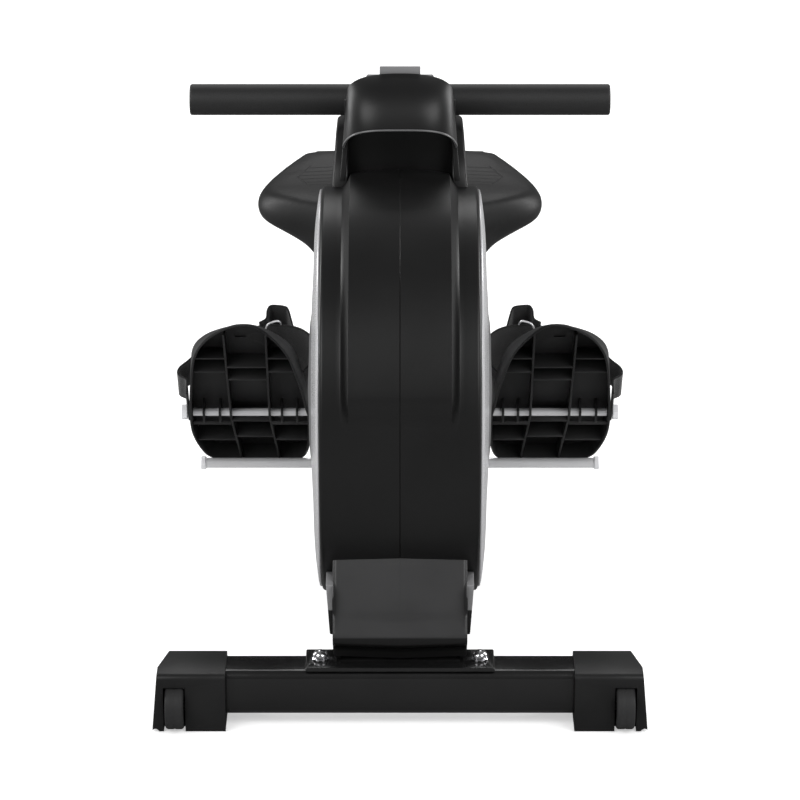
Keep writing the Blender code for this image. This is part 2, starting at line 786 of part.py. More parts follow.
def head_form(inset):
    half_rows = [
        (0.0567 - inset, 0.250, 0.5575, 0.6205),
        (0.0540 - inset, 0.236, 0.5660, 0.6290),
        (0.0480 - inset, 0.222, 0.5790, 0.6335),
        (0.0360 - inset, 0.214, 0.5865, 0.6365),
        (0.0180, 0.211, 0.5885, 0.6390),
    ]
    rows = [(-x, a, b, c) for x, a, b, c in half_rows]
    rows += [(0.0, 0.210, 0.5890, 0.6400)]
    rows += half_rows[::-1]
    return loft([head_section(*row, inset) for row in rows])


head = head_form(0.0)
for side in (-1, 1):
    low_arm = [(0.289, ARM_TOP), (0.350, ARM_TOP), (0.352, 0.545)]
    low_arm += [(0.346, 0.455), (0.236, 0.490), (0.238, 0.520)]
    near = [(side * 0.054, y, z) for y, z in low_arm]
    far = []
    for y, z in low_arm:
        reach = 0.0687 + (ARM_TOP - z) * 0.075
        far.append((side * reach, y, z))
    union(head, loft([near, far]))
recess = [(0.20, 0.45), (NECK_FRONT, 0.45), (NECK_FRONT, 0.582)]
recess += [(0.232, 0.592), (0.232, 0.586), (0.20, 0.56)]
cut(head, side_plate([recess], (-0.0525, 0.0525)))
cavity = [(NECK_FRONT + HEAD_WALL, 0.45), (HEAD_BACK - HEAD_WALL, 0.45)]
cavity += [(HEAD_BACK - HEAD_WALL, 0.600), (NECK_FRONT + HEAD_WALL, 0.618)]
cut(head, side_plate([cavity], (-0.0500, 0.0500)))
cut(head, block((-STRAP_SLOT_HALF, STRAP_SLOT_HALF), (0.300, 0.315), (0.572, 0.5995)))
cut(head, turned(
    [(-0.09, 0.0), (-0.09, DRUM_R + GAP), (0.09, DRUM_R + GAP), (0.09, 0.0)],
    (0, DRUM_Y, DRUM_Z), X, BIG_STEPS, side=Y,
))
spine_gap = turned(
    [
        (-SPINE_FOOT - GAP, 0.20),
        (-SPINE_FOOT - GAP, DRUM_R),
        (-SPINE_HALF - GAP, SPINE_R - 0.003),
        (-SPINE_HALF + 0.0035, SPINE_R + GAP),
        (SPINE_HALF - 0.0035, SPINE_R + GAP),
        (SPINE_HALF + GAP, SPINE_R - 0.003),
        (SPINE_FOOT + GAP, DRUM_R),
        (SPINE_FOOT + GAP, 0.20),
    ],
    (0, DRUM_Y, DRUM_Z), X, BIG_STEPS, side=Y, closed=True,
)
cut(head, spine_gap)
piece("head_cover", head, BLACK_CASE)


# Head bracket: a cross pin for the guide roller, held between two cheeks inside the head
GUIDE_HALF = 0.0150
bracket = rod((-0.030, GUIDE_Y, GUIDE_Z), (0.030, GUIDE_Y, GUIDE_Z), 0.003)
for side in (-1, 1):
    cheek = sorted((side * 0.0180, side * 0.0210))
    union(bracket, block(cheek, (0.2790, 0.3040), (0.530, 0.584), 0.001))
    ear = sorted((side * 0.0200, side * 0.0496))
    union(bracket, block(ear, (0.2795, 0.3035), (0.5305, 0.5335)))
union(bracket, block((-0.0200, 0.0200), (0.3005, 0.3035), (0.5305, 0.545)))
piece("head_bracket", bracket, STEEL)

# Guide roller: the strap runs up behind it and over it to the handlebar
GUIDE = body("guide_axis", (0, GUIDE_Y, GUIDE_Z))
roller = turned(
    [
        (-GUIDE_HALF, 0.0033),
        (-GUIDE_HALF, GUIDE_R + 0.0015),
        (-GUIDE_HALF + 0.0015, GUIDE_R + 0.0015),
        (-GUIDE_HALF + 0.0020, GUIDE_R),
        (GUIDE_HALF - 0.0020, GUIDE_R),
        (GUIDE_HALF - 0.0015, GUIDE_R + 0.0015),
        (GUIDE_HALF, GUIDE_R + 0.0015),
        (GUIDE_HALF, 0.0033),
    ],
    (0, GUIDE_Y, GUIDE_Z), X, MID_STEPS, closed=True,
)
piece("guide_roller", roller, GREY_PLASTIC, GUIDE)

# Console: a light housing on the slope of the hood, with a screen, two buttons and a tab
def slope_box(x, along, out, bevel=0.0):
    """A box on the console slope: across, down the slope, and out from it."""
    size = Vector((x[1] - x[0], along[1] - along[0], out[1] - out[0]))
    middle = SLOPE_START + X * (x[0] + x[1]) / 2 + SLOPE_DOWN * (along[0] + along[1]) / 2
    middle = middle + SLOPE_OUT * (out[0] + out[1]) / 2
    bm = bmesh.new()
    bmesh.ops.create_cube(bm, size=1.0)
    bm.transform(Matrix.Diagonal(size).to_4x4())
    obj = from_bmesh(bm, place(middle, X, SLOPE_OUT))
    return bevelled(obj, bevel) if bevel else obj


BEZEL_THICK = 0.0040
housing = slope_box((-CONSOLE_HALF, CONSOLE_HALF), (0.0045, 0.0660), (0.0004, BEZEL_THICK), 0.0012)
cut(housing, slope_box((-0.0290, 0.0290), (0.0080, 0.0420), (0.0024, 0.02)))
BUTTON_X = 0.015
BUTTON_DOWN = 0.053
BUTTON_R = 0.0055
BUTTON_AT = SLOPE_START + SLOPE_DOWN * BUTTON_DOWN
for side in (-1, 1):
    at = BUTTON_AT + X * side * BUTTON_X
    cut(housing, rod(at + SLOPE_OUT * 0.0022, at + SLOPE_OUT * 0.02, BUTTON_R + GAP, 16))
piece("console_housing", housing, LIGHT_PLASTIC)
piece("console_screen", slope_box((-0.0287, 0.0287), (0.0083, 0.0417), (0.0027, 0.0042), 0.0004), SCREEN)
for name, side in (("left", -1), ("right", 1)):
    at = BUTTON_AT + X * side * BUTTON_X
    holder = body("button_" + name + "_axis", at + SLOPE_OUT * BEZEL_THICK)
    cap = rod(at + SLOPE_OUT * 0.0041, at + SLOPE_OUT * 0.0062, BUTTON_R, 16, 0.0006)
    piece("console_button_" + name, cap, DARK_COVER, holder)
tab = [(0.2475, 0.6390), (0.2520, 0.6404), (0.2560, 0.6484)]
tab += [(0.2540, 0.6491), (0.2495, 0.6424), (0.2440, 0.6397)]
tab_piece = side_plate([tab], (-TAB_HALF, TAB_HALF))
piece("console_tab", tab_piece, LIGHT_PLASTIC)

# Flywheel with its small pulley, on an axle between the chassis plates
piece(
    "flywheel_axle",
    rod((-PLATE_IN - SHEET, DRUM_Y, DRUM_Z), (PLATE_IN + SHEET, DRUM_Y, DRUM_Z), FLY_AXLE_R, 24),
    STEEL,
)
FLY = body("flywheel_axis", (0, DRUM_Y, DRUM_Z))
bore = FLY_AXLE_R + GAP
groove = SMALL_PULLEY_R
wheel = turned(
    [
        (PULLEY_X0 - 0.002, bore),
        (PULLEY_X0 - 0.002, groove + 0.002),
        (PULLEY_X0, groove + 0.002),
        (PULLEY_X0, groove),
        (PULLEY_X1, groove),
        (PULLEY_X1, groove + 0.002),
        (PULLEY_X1 + 0.002, groove + 0.002),
        (PULLEY_X1 + 0.002, 0.012),
        (FLY_IN + 0.008, 0.012),
        (FLY_IN + 0.008, 0.124),
        (FLY_IN, 0.128),
        (FLY_IN, FLY_R),
        (FLY_OUT, FLY_R),
        (FLY_OUT, 0.128),
        (FLY_OUT - 0.008, 0.124),
        (FLY_OUT - 0.008, bore),
    ],
    (0, DRUM_Y, DRUM_Z), X, 28, closed=True,
)
for k in range(5):
    angle = 2 * math.pi * k / 5
    spot = Vector((0, DRUM_Y + 0.080 * math.cos(angle), DRUM_Z + 0.080 * math.sin(angle)))
    cut(wheel, rod(spot + X * 0.02, spot + X * 0.06, 0.018, 12))
piece("flywheel", wheel, IRON, FLY)

# Strap reel on its shaft, and the large pulley beside it on the same shaft
REEL = body("reel_axis", (0, REEL_Y, REEL_Z))
reel = turned(
    [
        (-PLATE_IN - SHEET, 0.0),
        (-PLATE_IN - SHEET, REEL_SHAFT_R),
        (-REEL_HALF - 0.0025, REEL_SHAFT_R),
        (-REEL_HALF - 0.0025, REEL_R + 0.006),
        (-REEL_HALF, REEL_R + 0.006),
        (-REEL_HALF, REEL_R),
        (REEL_HALF, REEL_R),
        (REEL_HALF, REEL_R + 0.006),
        (REEL_HALF + 0.0025, REEL_R + 0.006),
        (REEL_HALF + 0.0025, REEL_SHAFT_R),
        (0.024, REEL_SHAFT_R),
        (0.024, 0.0),
    ],
    (0, REEL_Y, REEL_Z), X, MID_STEPS,
)
piece("strap_reel", reel, WEBBING, REEL)
PULLEY = body("pulley_axis", (0, REEL_Y, REEL_Z))
rim = BELT_PULLEY_R
pulley = turned(
    [
        (PULLEY_X0 - 0.002, REEL_SHAFT_R + GAP),
        (PULLEY_X0 - 0.002, rim + 0.002),
        (PULLEY_X0, rim + 0.002),
        (PULLEY_X0, rim),
        (PULLEY_X1, rim),
        (PULLEY_X1, rim + 0.002),
        (PULLEY_X1 + 0.002, rim + 0.002),
        (PULLEY_X1 + 0.002, rim - 0.006),
        (PULLEY_X1 - 0.004, rim - 0.006),
        (PULLEY_X1 - 0.004, 0.018),
        (PULLEY_X1 + 0.002, 0.018),
        (PULLEY_X1 + 0.002, REEL_SHAFT_R + GAP),
    ],
    (0, REEL_Y, REEL_Z), X, 32, closed=True,
)
piece("belt_pulley", pulley, GREY_PLASTIC, PULLEY)


# Belt: an open flat loop round both pulleys
def belt_loop(extra):
    across = Vector((REEL_Y - DRUM_Y, REEL_Z - DRUM_Z))
    span = across.length
    heading = math.degrees(math.atan2(across.y, across.x))
    big = BELT_PULLEY_R + GAP + extra
    small = SMALL_PULLEY_R + GAP + extra
    tilt = math.degrees(math.acos((big - small) / span))
    outline = ring_points((REEL_Y, REEL_Z), big, heading + 180 - tilt, heading - 180 + tilt, 28)
    outline += ring_points((DRUM_Y, DRUM_Z), small, heading + 180 + tilt, heading + 180 - tilt, 14)
    return outline


belt = side_plate([belt_loop(BELT_THICK), belt_loop(0.0)], (PULLEY_X0 + GAP, PULLEY_X1 - GAP))
piece("drive_belt", belt, RUBBER)

# Brake arm: a band of magnets that swings towards the flywheel rim
BRAKE = body("brake_axis", (0, BRAKE_Y, BRAKE_Z))
start = math.degrees(math.atan2(BRAKE_Z - DRUM_Z, BRAKE_Y - DRUM_Y))
shoe = ring_points((DRUM_Y, DRUM_Z), 0.170, start - 4, start - 74, 16)
shoe += ring_points((DRUM_Y, DRUM_Z), 0.156, start - 74, start - 4, 16)
arm = side_plate([shoe], (FLY_IN - 0.003, FLY_OUT + 0.003))
hub = side_plate([ring_points((BRAKE_Y, BRAKE_Z), 0.012, 0, 345, 23)], (FLY_OUT + 0.001, FLY_OUT + 0.007))
union(arm, hub)
link = ring_points((DRUM_Y, DRUM_Z), 0.170, start + 2, start - 20, 6)
link += ring_points((DRUM_Y, DRUM_Z), 0.148, start - 20, start + 2, 6)
union(arm, side_plate([link], (FLY_OUT + 0.0015, FLY_OUT + 0.0065)))
union(arm, rod((FLY_OUT + 0.002, BRAKE_Y, BRAKE_Z), (PLATE_IN + SHEET, BRAKE_Y, BRAKE_Z), 0.005))
swing = Matrix.Translation((0, BRAKE_Y, BRAKE_Z)) @ Matrix.Rotation(BRAKE_OPEN, 4, "X")
swing = swing @ Matrix.Translation((0, -BRAKE_Y, -BRAKE_Z))
for shape in [arm] + [modifier.object for modifier in arm.modifiers]:
    shape.data.transform(swing)
piece("brake_arm", arm, STEEL, BRAKE)

# Tension knob on the slope of the casing behind the head
KNOB = body("knob_axis", KNOB_BASE)
knob = turned(
    [
        (-0.018, 0.0),
        (-0.018, KNOB_SHAFT_R),
        (0.0003, KNOB_SHAFT_R),
        (0.0003, KNOB_R),
        (0.0060, KNOB_R),
        (0.0085, KNOB_R - 0.004),
        (KNOB_TALL - 0.002, KNOB_R - 0.0055),
        (KNOB_TALL, KNOB_R - 0.0080),
        (KNOB_TALL, 0.0),
    ],
    KNOB_BASE, KNOB_OUT, MID_STEPS,
)
for k in range(8):
    angle = 2 * math.pi * k / 8
    out = X * math.cos(angle) + KNOB_OUT.cross(X) * math.sin(angle)
    spot = KNOB_BASE + out * (KNOB_R - 0.0035)
    cut(knob, rod(spot + KNOB_OUT * 0.0085, spot + KNOB_OUT * 0.03, 0.0028, 10))
piece("tension_knob", knob, BLACK_CASE, KNOB)

# Handlebar: a steel tube with two foam grips
HANDLE = body("handle_axis", (0, BAR_Y, BAR_Z))
bar = turned(
    [(-BAR_HALF + 0.004, BAR_R), (BAR_HALF - 0.004, BAR_R), (BAR_HALF - 0.004, 0.009), (0.004 - BAR_HALF, 0.009)],
    (0, BAR_Y, BAR_Z), X, MID_STEPS, closed=True,
)
piece("handlebar", bar, STEEL, HANDLE)
grip = turned(
    [
        (BAR_HALF, 0.0),
        (BAR_HALF, GRIP_R - 0.0015),
        (BAR_HALF - 0.0015, GRIP_R),
        (GRIP_START + 0.002, GRIP_R),
        (GRIP_START, GRIP_R - 0.002),
        (GRIP_START, BAR_R + GAP),
        (BAR_HALF - 0.0035, BAR_R + GAP),
        (BAR_HALF - 0.0035, 0.0),
    ],
    (0, BAR_Y, BAR_Z), X, MID_STEPS,
)
pair("grip", grip, FOAM, (HANDLE, HANDLE))


# Pull strap: up from the reel, over the guide roller and round the bar between the grips
def strap_side(offset):
    """One face of the strap, as (y, z) pairs from the reel to where it wraps the bar."""
    over = Vector((BAR_Y, BAR_Z)) - Vector((GUIDE_Y, GUIDE_Z))
    roll = GUIDE_R + GAP + STRAP_THICK / 2 + offset
    wrap = BAR_R + GAP + STRAP_THICK / 2
    heading = math.degrees(math.atan2(over.y, over.x))
    tilt = math.degrees(math.asin((wrap - GUIDE_R - GAP - STRAP_THICK / 2) / over.length))
    points = [(GUIDE_Y - roll, REEL_Z + 0.004)]
    points += ring_points((GUIDE_Y, GUIDE_Z), roll, 180, 90 + heading + tilt, 6)
    points += ring_points((BAR_Y, BAR_Z), wrap + offset, 90 + heading + tilt, -200 + heading, 14)
    return points


outline = strap_side(STRAP_THICK / 2) + strap_side(-STRAP_THICK / 2)[::-1]
piece("pull_strap", side_plate([outline], (-STRAP_HALF, STRAP_HALF)), WEBBING)


# Footplates: leaning shells with a skirt, ribs underneath and bosses round the axle
ALONG = Vector((0, -math.cos(PEDAL_LEAN), math.sin(PEDAL_LEAN)))
FACE = Vector((0, math.sin(PEDAL_LEAN), math.cos(PEDAL_LEAN)))
PEDAL_AT = Vector((PEDAL_X, PEDAL_Y, PEDAL_Z))
SOLE_IN = 0.012
SOLE_OUT = 0.0155
SKIRT_BACK = -0.0108
SKIRT_WALL = 0.0028
RIB_BACK = -0.008
RIB_WALL = 0.0026
SOLE_OUTLINE = [
    (0.0255, 0.1740),
    (0.0463, 0.1540),
    (0.0604, 0.1210),
    (0.0662, 0.0650),
    (0.0693, 0.0000),
    (0.0665, -0.0380),
    (0.0563, -0.0710),
    (0.0454, -0.0840),
    (0.0300, -0.0900),
    (-0.0574, -0.0900),
    (-0.0676, -0.0660),
    (-0.0692, 0.0020),
    (-0.0665, 0.0235),
    (-0.0610, 0.0680),
    (-0.0468, 0.1310),
    (-0.0182, 0.1755),
    (0.0040, 0.1830),
]


def shrunk(outline, amount):
    """The outline moved inwards by an amount, corner by corner."""
    found = []
    for i, point in enumerate(outline):
        here = Vector(point)
        before = (here - Vector(outline[i - 1])).normalized()
        after = (Vector(outline[(i + 1) % len(outline)]) - here).normalized()
        inward = Vector((before.y + after.y, -before.x - after.x)).normalized()
        lift = amount / max(0.5, math.cos(before.angle(after) / 2))
        found.append(tuple(here + inward * lift))
    return found


def on_sole(outlines, span):
    """Outlines of (x, along) pairs on the sole, with a span measured out from the axle towards the shoe."""
    return extruded(outlines, PEDAL_AT, X, ALONG, (-span[1], -span[0]))


def sole_box(x, s, n, bevel=0.0):
    obj = on_sole([box_outline(x, s)], n)
    return bevelled(obj, bevel) if bevel else obj


def footplate():
    inner = shrunk(SOLE_OUTLINE, SKIRT_WALL)
    obj = on_sole([SOLE_OUTLINE], (SKIRT_BACK, SOLE_OUT))
    cut(obj, on_sole([inner], (-0.03, SOLE_IN)))
    half = RIB_WALL / 2
    for low, high in ((0.0130, 0.0290), (-0.0318, -0.0190)):
        rib = [(low - half, -0.0885), (low + half, -0.0885), (high + half, 0.1520), (high - half, 0.1520)]
        union(obj, on_sole([rib], (RIB_BACK, SOLE_IN + 0.001)))
    for s, left, right in (
        (0.119, 0.0267, 0.0590),
        (0.094, 0.0250, 0.0628),
        (-0.049, 0.0155, 0.0620),
        (0.119, -0.0480, -0.0208),
        (0.094, -0.0540, -0.0222),
        (-0.049, -0.0670, -0.0300),
        (0.103, -0.0215, 0.0258),
        (0.078, -0.0230, 0.0242),
        (-0.042, -0.0296, 0.0160),
    ):
        union(obj, sole_box((left, right), (s, s + RIB_WALL), (RIB_BACK + 0.0006, SOLE_IN + 0.0012)))
    for low, high in ((BOSS_IN, PEDAL_INNER + 0.001), (0.2385, BOSS_OUT)):
        ends = (low - PEDAL_X, high - PEDAL_X)
        union(obj, extruded([ring_points((0, 0), 0.0098, 0, 340, 17)], PEDAL_AT, Y, Z, ends))
    for x in CLIP_X:
        clip = (x - PEDAL_X - RIB_WALL / 2, x - PEDAL_X + RIB_WALL / 2)
        union(obj, sole_box(clip, (-0.0105, 0.0105), (-0.0085, SOLE_IN + 0.0014)))
    cut(obj, sole_box((-0.012, 0.012), (0.140, 0.148), (0.0, 0.03)))
    cut(obj, rod((0.08, PEDAL_Y, PEDAL_Z), (0.27, PEDAL_Y, PEDAL_Z), AXLE_R + GAP, 16))
    for s in (-0.052, 0.012, 0.079, 0.112):
        wide = 0.050 if s > 0.1 else 0.058
        union(obj, sole_box((-wide, wide), (s, s + 0.003), (SOLE_OUT - 0.0005, SOLE_OUT + 0.0012)))
    heel = [(-0.0560, -0.0890), (0.0300, -0.0890), (0.0440, -0.0825), (0.0440, -0.0790), (-0.0560, -0.0790)]
    union(obj, on_sole([heel], (SOLE_OUT - 0.001, SOLE_OUT + 0.020)))
    return obj


PEDAL_RIGHT = body("pedal_right_axis", (PEDAL_X, PEDAL_Y, PEDAL_Z))
PEDAL_LEFT = body("pedal_left_axis", (-PEDAL_X, PEDAL_Y, PEDAL_Z))
pair("pedal", footplate(), BLACK_CASE, (PEDAL_LEFT, PEDAL_RIGHT))


# Foot straps: a webbing band over each foot, leaning towards the toe, with a tail folded back to a ring
def leaned(obj, origin_n, amount):
    """Shears a shape towards the toe as it rises from the sole."""
    for vertex in obj.data.vertices:
        rise = max(0.0, (vertex.co - PEDAL_AT).dot(FACE) - origin_n)
        vertex.co += ALONG * rise * amount
    return obj


def band(path, thick, s):
    """A flat band along a path of (x, out) pairs, as wide as the span s along the sole."""
    left = []
    right = []
    for i, point in enumerate(path):
        here = Vector(point)
        before = Vector(path[max(i - 1, 0)])
        after = Vector(path[min(i + 1, len(path) - 1)])
        along = (after - before).normalized()
        normal = Vector((-along.y, along.x))
        left.append(tuple(here + normal * thick / 2))
        right.append(tuple(here - normal * thick / 2))
    middle = (s[0] + s[1]) / 2
    half = (s[1] - s[0]) / 2
    return extruded([left + right[::-1]], PEDAL_AT + ALONG * middle, X, FACE, (-half, half))


WEB = 0.002


def foot_strap():
    reach = 0.0693 + GAP + WEB / 2 + 0.0002
    path = [(reach, -0.009), (reach, 0.006), (reach + 0.005, 0.016), (reach + 0.0075, 0.026)]
    path += [(reach + 0.004, 0.037), (0.0620, 0.0480), (0.0460, 0.0560), (0.0240, 0.0610), (0.0, 0.0625)]
    path += [(-0.0240, 0.0620), (-0.0460, 0.0585), (-0.0600, 0.0500), (-0.0665, 0.0380), (-0.0675, 0.0260)]
    path += [(-0.0675, 0.0165)]
    obj = band(path, WEB, (0.012, 0.052))
    leaned(obj, 0.010, 0.55)
    tail = [(-0.0120, 0.0622), (-0.0230, 0.0690), (-0.0260, 0.0790), (-0.0310, 0.0850), (-0.0400, 0.0855)]
    tail += [(-0.0480, 0.0800), (-0.0500, 0.0700), (-0.0500, 0.0580)]
    flap = band(tail, WEB, (0.030, 0.056))
    leaned(flap, 0.010, 0.85)
    return union(obj, flap)


pair("foot_strap", foot_strap(), WEBBING, (PEDAL_LEFT, PEDAL_RIGHT))


def strap_ring():
    """A bent wire ring that lies on the strap where the tail turns back."""
    bm = bmesh.new()
    rows = []
    count = 18
    for k in range(count):
        angle = 2 * math.pi * k / count
        a = math.cos(angle)
        b = math.sin(angle)
        long = 0.0165 * math.copysign(abs(a) ** 0.6, a)
        short = 0.0075 * math.copysign(abs(b) ** 0.6, b)
        middle = Vector((0.003 + short, 0.0, 0.0))
        centre = PEDAL_AT + X * middle.x + ALONG * (0.0620 + long) + FACE * (0.0652 - 0.10 * short)
        rows.append((centre, angle))
    rings = []
    for k, (centre, _) in enumerate(rows):
        tangent = (rows[(k + 1) % count][0] - rows[k - 1][0]).normalized()
        side = tangent.cross(FACE).normalized()
        up = side.cross(tangent)
        rings.append([
            bm.verts.new(centre + (side * math.cos(t) + up * math.sin(t)) * 0.0014)
            for t in (math.pi * j / 3 for j in range(6))
        ])
    for k in range(count):
        first = rings[k]
        second = rings[(k + 1) % count]
        for j in range(6):
            i = (j + 1) % 6
            bm.faces.new((first[j], first[i], second[i], second[j]))
    return from_bmesh(bm)


pair("strap_ring", strap_ring(), CHROME, (PEDAL_LEFT, PEDAL_RIGHT))

# Pedal axle with its two nuts, and the heel bar with its end caps
NUT_IN = BOSS_OUT + 0.0008
axle = rod((-NUT_IN - 0.006, PEDAL_Y, PEDAL_Z), (NUT_IN + 0.006, PEDAL_Y, PEDAL_Z), AXLE_R, 16)
for side in (-1, 1):
    inner = (side * NUT_IN, PEDAL_Y, PEDAL_Z)
    outer = (side * (NUT_IN + 0.0072), PEDAL_Y, PEDAL_Z)
    union(axle, rod(inner, outer, 0.0095, 6, 0.001))
piece("pedal_axle", axle, CHROME)
heel = rod((-HEEL_HALF, HEEL_Y, HEEL_Z), (HEEL_HALF, HEEL_Y, HEEL_Z), HEEL_R, 16)
for side in (-1, 1):
    inner = (side * (HEEL_HALF - 0.0008), HEEL_Y, HEEL_Z)
    outer = (side * (HEEL_HALF + 0.0064), HEEL_Y, HEEL_Z)
    union(heel, rod(inner, outer, 0.0078, 16, 0.0015))
piece("heel_bar", heel, CHROME)

# Pivot bolt and lock pin of the hinge
pivot = turned(
    [
        (-FORK_OUT - 0.0055, 0.0),
        (-FORK_OUT - 0.0055, 0.009),
        (-FORK_OUT - GAP, 0.010),
        (-FORK_OUT - GAP, PIVOT_R),
        (FORK_OUT + GAP, PIVOT_R),
        (FORK_OUT + GAP, 0.010),
        (FORK_OUT + 0.0065, 0.009),
        (FORK_OUT + 0.0065, 0.0),
    ],
    (0, HINGE_Y, HINGE_Z), X, 24,
)
piece("pivot_bolt", pivot, CHROME)
LOCK = body("lock_axis", (TONGUE_HALF, LOCK_Y, LOCK_Z))
lock = turned(
    [
        (TONGUE_HALF + GAP, 0.0),
        (TONGUE_HALF + GAP, LOCK_R - 0.001),
        (TONGUE_HALF + GAP + 0.001, LOCK_R),
        (0.0403, LOCK_R),
        (0.0403, 0.010),
        (0.0420, 0.0115),
        (0.0520, 0.0115),
        (0.0540, 0.009),
        (0.0540, 0.0),
    ],
    (0, LOCK_Y, LOCK_Z), X, 24,
)
piece("lock_pin", lock, BLACK_CASE, LOCK)

# Rail: a flanged hollow section that folds up on its tongue
RAIL = body("rail_axis", (0, HINGE_Y, HINGE_Z))
BOX_TOP = RAIL_TOP - FLANGE_THICK
SECTION = [
    (-BOX_HALF, RAIL_LOW),
    (BOX_HALF, RAIL_LOW),
    (BOX_HALF, BOX_TOP),
    (FLANGE_HALF, BOX_TOP),
    (FLANGE_HALF, RAIL_TOP),
    (-FLANGE_HALF, RAIL_TOP),
    (-FLANGE_HALF, BOX_TOP),
    (-BOX_HALF, BOX_TOP),
]
hollow = box_outline(
    (BOX_WALL - BOX_HALF, BOX_HALF - BOX_WALL), (RAIL_LOW + BOX_WALL, BOX_TOP - BOX_WALL)
)
radii = [0.003, 0.003, 0.001, 0.002, 0.002, 0.002, 0.002, 0.001]
rail = extruded([rounded(SECTION, radii, 3), hollow], (0, 0, 0), X, Z, (-REAR_Y, -RAIL_START))
piece("rail", rail, ALUMINIUM, RAIL)
tongue_in = BOX_HALF - BOX_WALL - GAP
tongue = block(
    (-tongue_in, tongue_in),
    (RAIL_START + 0.0005, 0.640),
    (RAIL_LOW + BOX_WALL + GAP, BOX_TOP - BOX_WALL - GAP),
)
lug = [
    (0.494, 0.1650),
    (0.556, 0.1650),
    (0.556, 0.1935),
    (0.547, 0.1940),
    (0.546, 0.2090),
    (0.503, 0.2090),
    (0.494, 0.2000),
]
union(tongue, side_plate([lug], (-TONGUE_HALF, TONGUE_HALF)))
cut(tongue, rod((-0.03, HINGE_Y, HINGE_Z), (0.03, HINGE_Y, HINGE_Z), PIVOT_R + GAP, 24))
for y in (LOCK_Y, HINGE_Y - LOCK_OFFSET):
    cut(tongue, rod((0.010, y, LOCK_Z), (0.03, y, LOCK_Z), LOCK_R + GAP, 16))
piece("rail_tongue", tongue, BLACK_PAINT, RAIL)

# Rear stabiliser: an upright under the end of the rail and a cross tube with two caps
REAR_TUBE = 0.040
REAR_TUBE_Z = 0.0345
post = block((-0.020, 0.020), (REAR_FOOT_Y - 0.018, REAR_FOOT_Y + 0.018), (0.050, RAIL_LOW - GAP), 0.003)
half = REAR_TUBE / 2
tube_outer = rounded(
    box_outline((REAR_FOOT_Y - half, REAR_FOOT_Y + half), (REAR_TUBE_Z - half, REAR_TUBE_Z + half)),
    0.007,
)
inset = half - STAB_WALL
tube_inner = rounded(
    box_outline((REAR_FOOT_Y - inset, REAR_FOOT_Y + inset), (REAR_TUBE_Z - inset, REAR_TUBE_Z + inset)),
    0.005,
)
union(post, side_plate([tube_outer, tube_inner], (-REAR_HALF, REAR_HALF)))
plate = block(
    (-0.035, 0.035),
    (REAR_FOOT_Y - 0.030, REAR_FOOT_Y + 0.030),
    (RAIL_LOW - GAP - 0.004, RAIL_LOW - GAP),
    0.001,
)
union(post, plate)
piece("rear_stabiliser", post, BLACK_PAINT, RAIL)
cap_outline = box_outline((REAR_FOOT_Y - 0.026, REAR_FOOT_Y + 0.026), (0.0, 0.060))
cap = side_plate(
    [rounded(cap_outline, [0.003, 0.003, 0.008, 0.008], 3)],
    (REAR_HALF - 0.030, REAR_HALF + 0.008),
)
bevelled(cap, 0.0015)
pocket_half = half + GAP
pocket = rounded(
    box_outline(
        (REAR_FOOT_Y - pocket_half, REAR_FOOT_Y + pocket_half),
        (REAR_TUBE_Z - pocket_half, REAR_TUBE_Z + pocket_half),
    ),
    0.007,
)
cut(cap, side_plate([pocket], (0.0, REAR_HALF + GAP)))
pair("rear_cap", cap, RUBBER, (RAIL, RAIL))

# Seat carriage: a folded plate over the rail with fixed axles for its four rollers
SEAT = body("seat_axis", (0, SEAT_Y, RAIL_TOP), RAIL)
ROLLER_Z = RAIL_TOP + GAP + ROLLER_R
TOP_Z = ROLLER_Z + ROLLER_R + 0.0007
LOWER_Z = BOX_TOP - GAP - LOWER_R
low_y = SEAT_Y - CARRIAGE_LONG / 2
high_y = SEAT_Y + CARRIAGE_LONG / 2
carriage = block((-CARRIAGE_HALF, CARRIAGE_HALF), (low_y, high_y), (TOP_Z, TOP_Z + 0.003))
for side in (-1, 1):
    wall = sorted((side * (CARRIAGE_HALF - 0.003), side * CARRIAGE_HALF))
    cheek = block(wall, (low_y, high_y), (0.1800, TOP_Z + 0.001))
    union(carriage, cheek)
    inner = side * 0.0275
    outer = side * (CARRIAGE_HALF - 0.001)
    union(carriage, rod((inner, SEAT_Y, LOWER_Z), (outer, SEAT_Y, LOWER_Z), 0.003, 16))
for shift in (-ROLLER_Y, ROLLER_Y):
    near = CARRIAGE_HALF - 0.001
    y = SEAT_Y + shift
    union(carriage, rod((-near, y, ROLLER_Z), (near, y, ROLLER_Z), ROLLER_AXLE_R, 16))
piece("seat_carriage", carriage, BLACK_PAINT, SEAT)


def seat_roller(shift):
    bore = ROLLER_AXLE_R + GAP
    profile = [
        (-0.036, bore),
        (-0.036, ROLLER_R),
        (-0.022, ROLLER_R),
        (-0.021, 0.008),
        (0.021, 0.008),
        (0.022, ROLLER_R),
        (0.036, ROLLER_R),
        (0.036, bore),
    ]
    return turned(profile, (0, SEAT_Y + shift, ROLLER_Z), X, 24, closed=True)


for name, shift in (("front", -ROLLER_Y), ("rear", ROLLER_Y)):
    holder = body("roller_" + name + "_axis", (0, SEAT_Y + shift, ROLLER_Z), SEAT)
    piece("seat_roller_" + name, seat_roller(shift), GREY_PLASTIC, holder)
lower = turned(
    [(0.0290, 0.0033), (0.0290, LOWER_R), (0.0390, LOWER_R), (0.0390, 0.0033)],
    (0, SEAT_Y, LOWER_Z), X, 24, closed=True,
)
LOWER_RIGHT = body("roller_lower_right_axis", (0.034, SEAT_Y, LOWER_Z), SEAT)
LOWER_LEFT = body("roller_lower_left_axis", (-0.034, SEAT_Y, LOWER_Z), SEAT)
pair("seat_roller_lower", lower, GREY_PLASTIC, (LOWER_LEFT, LOWER_RIGHT))

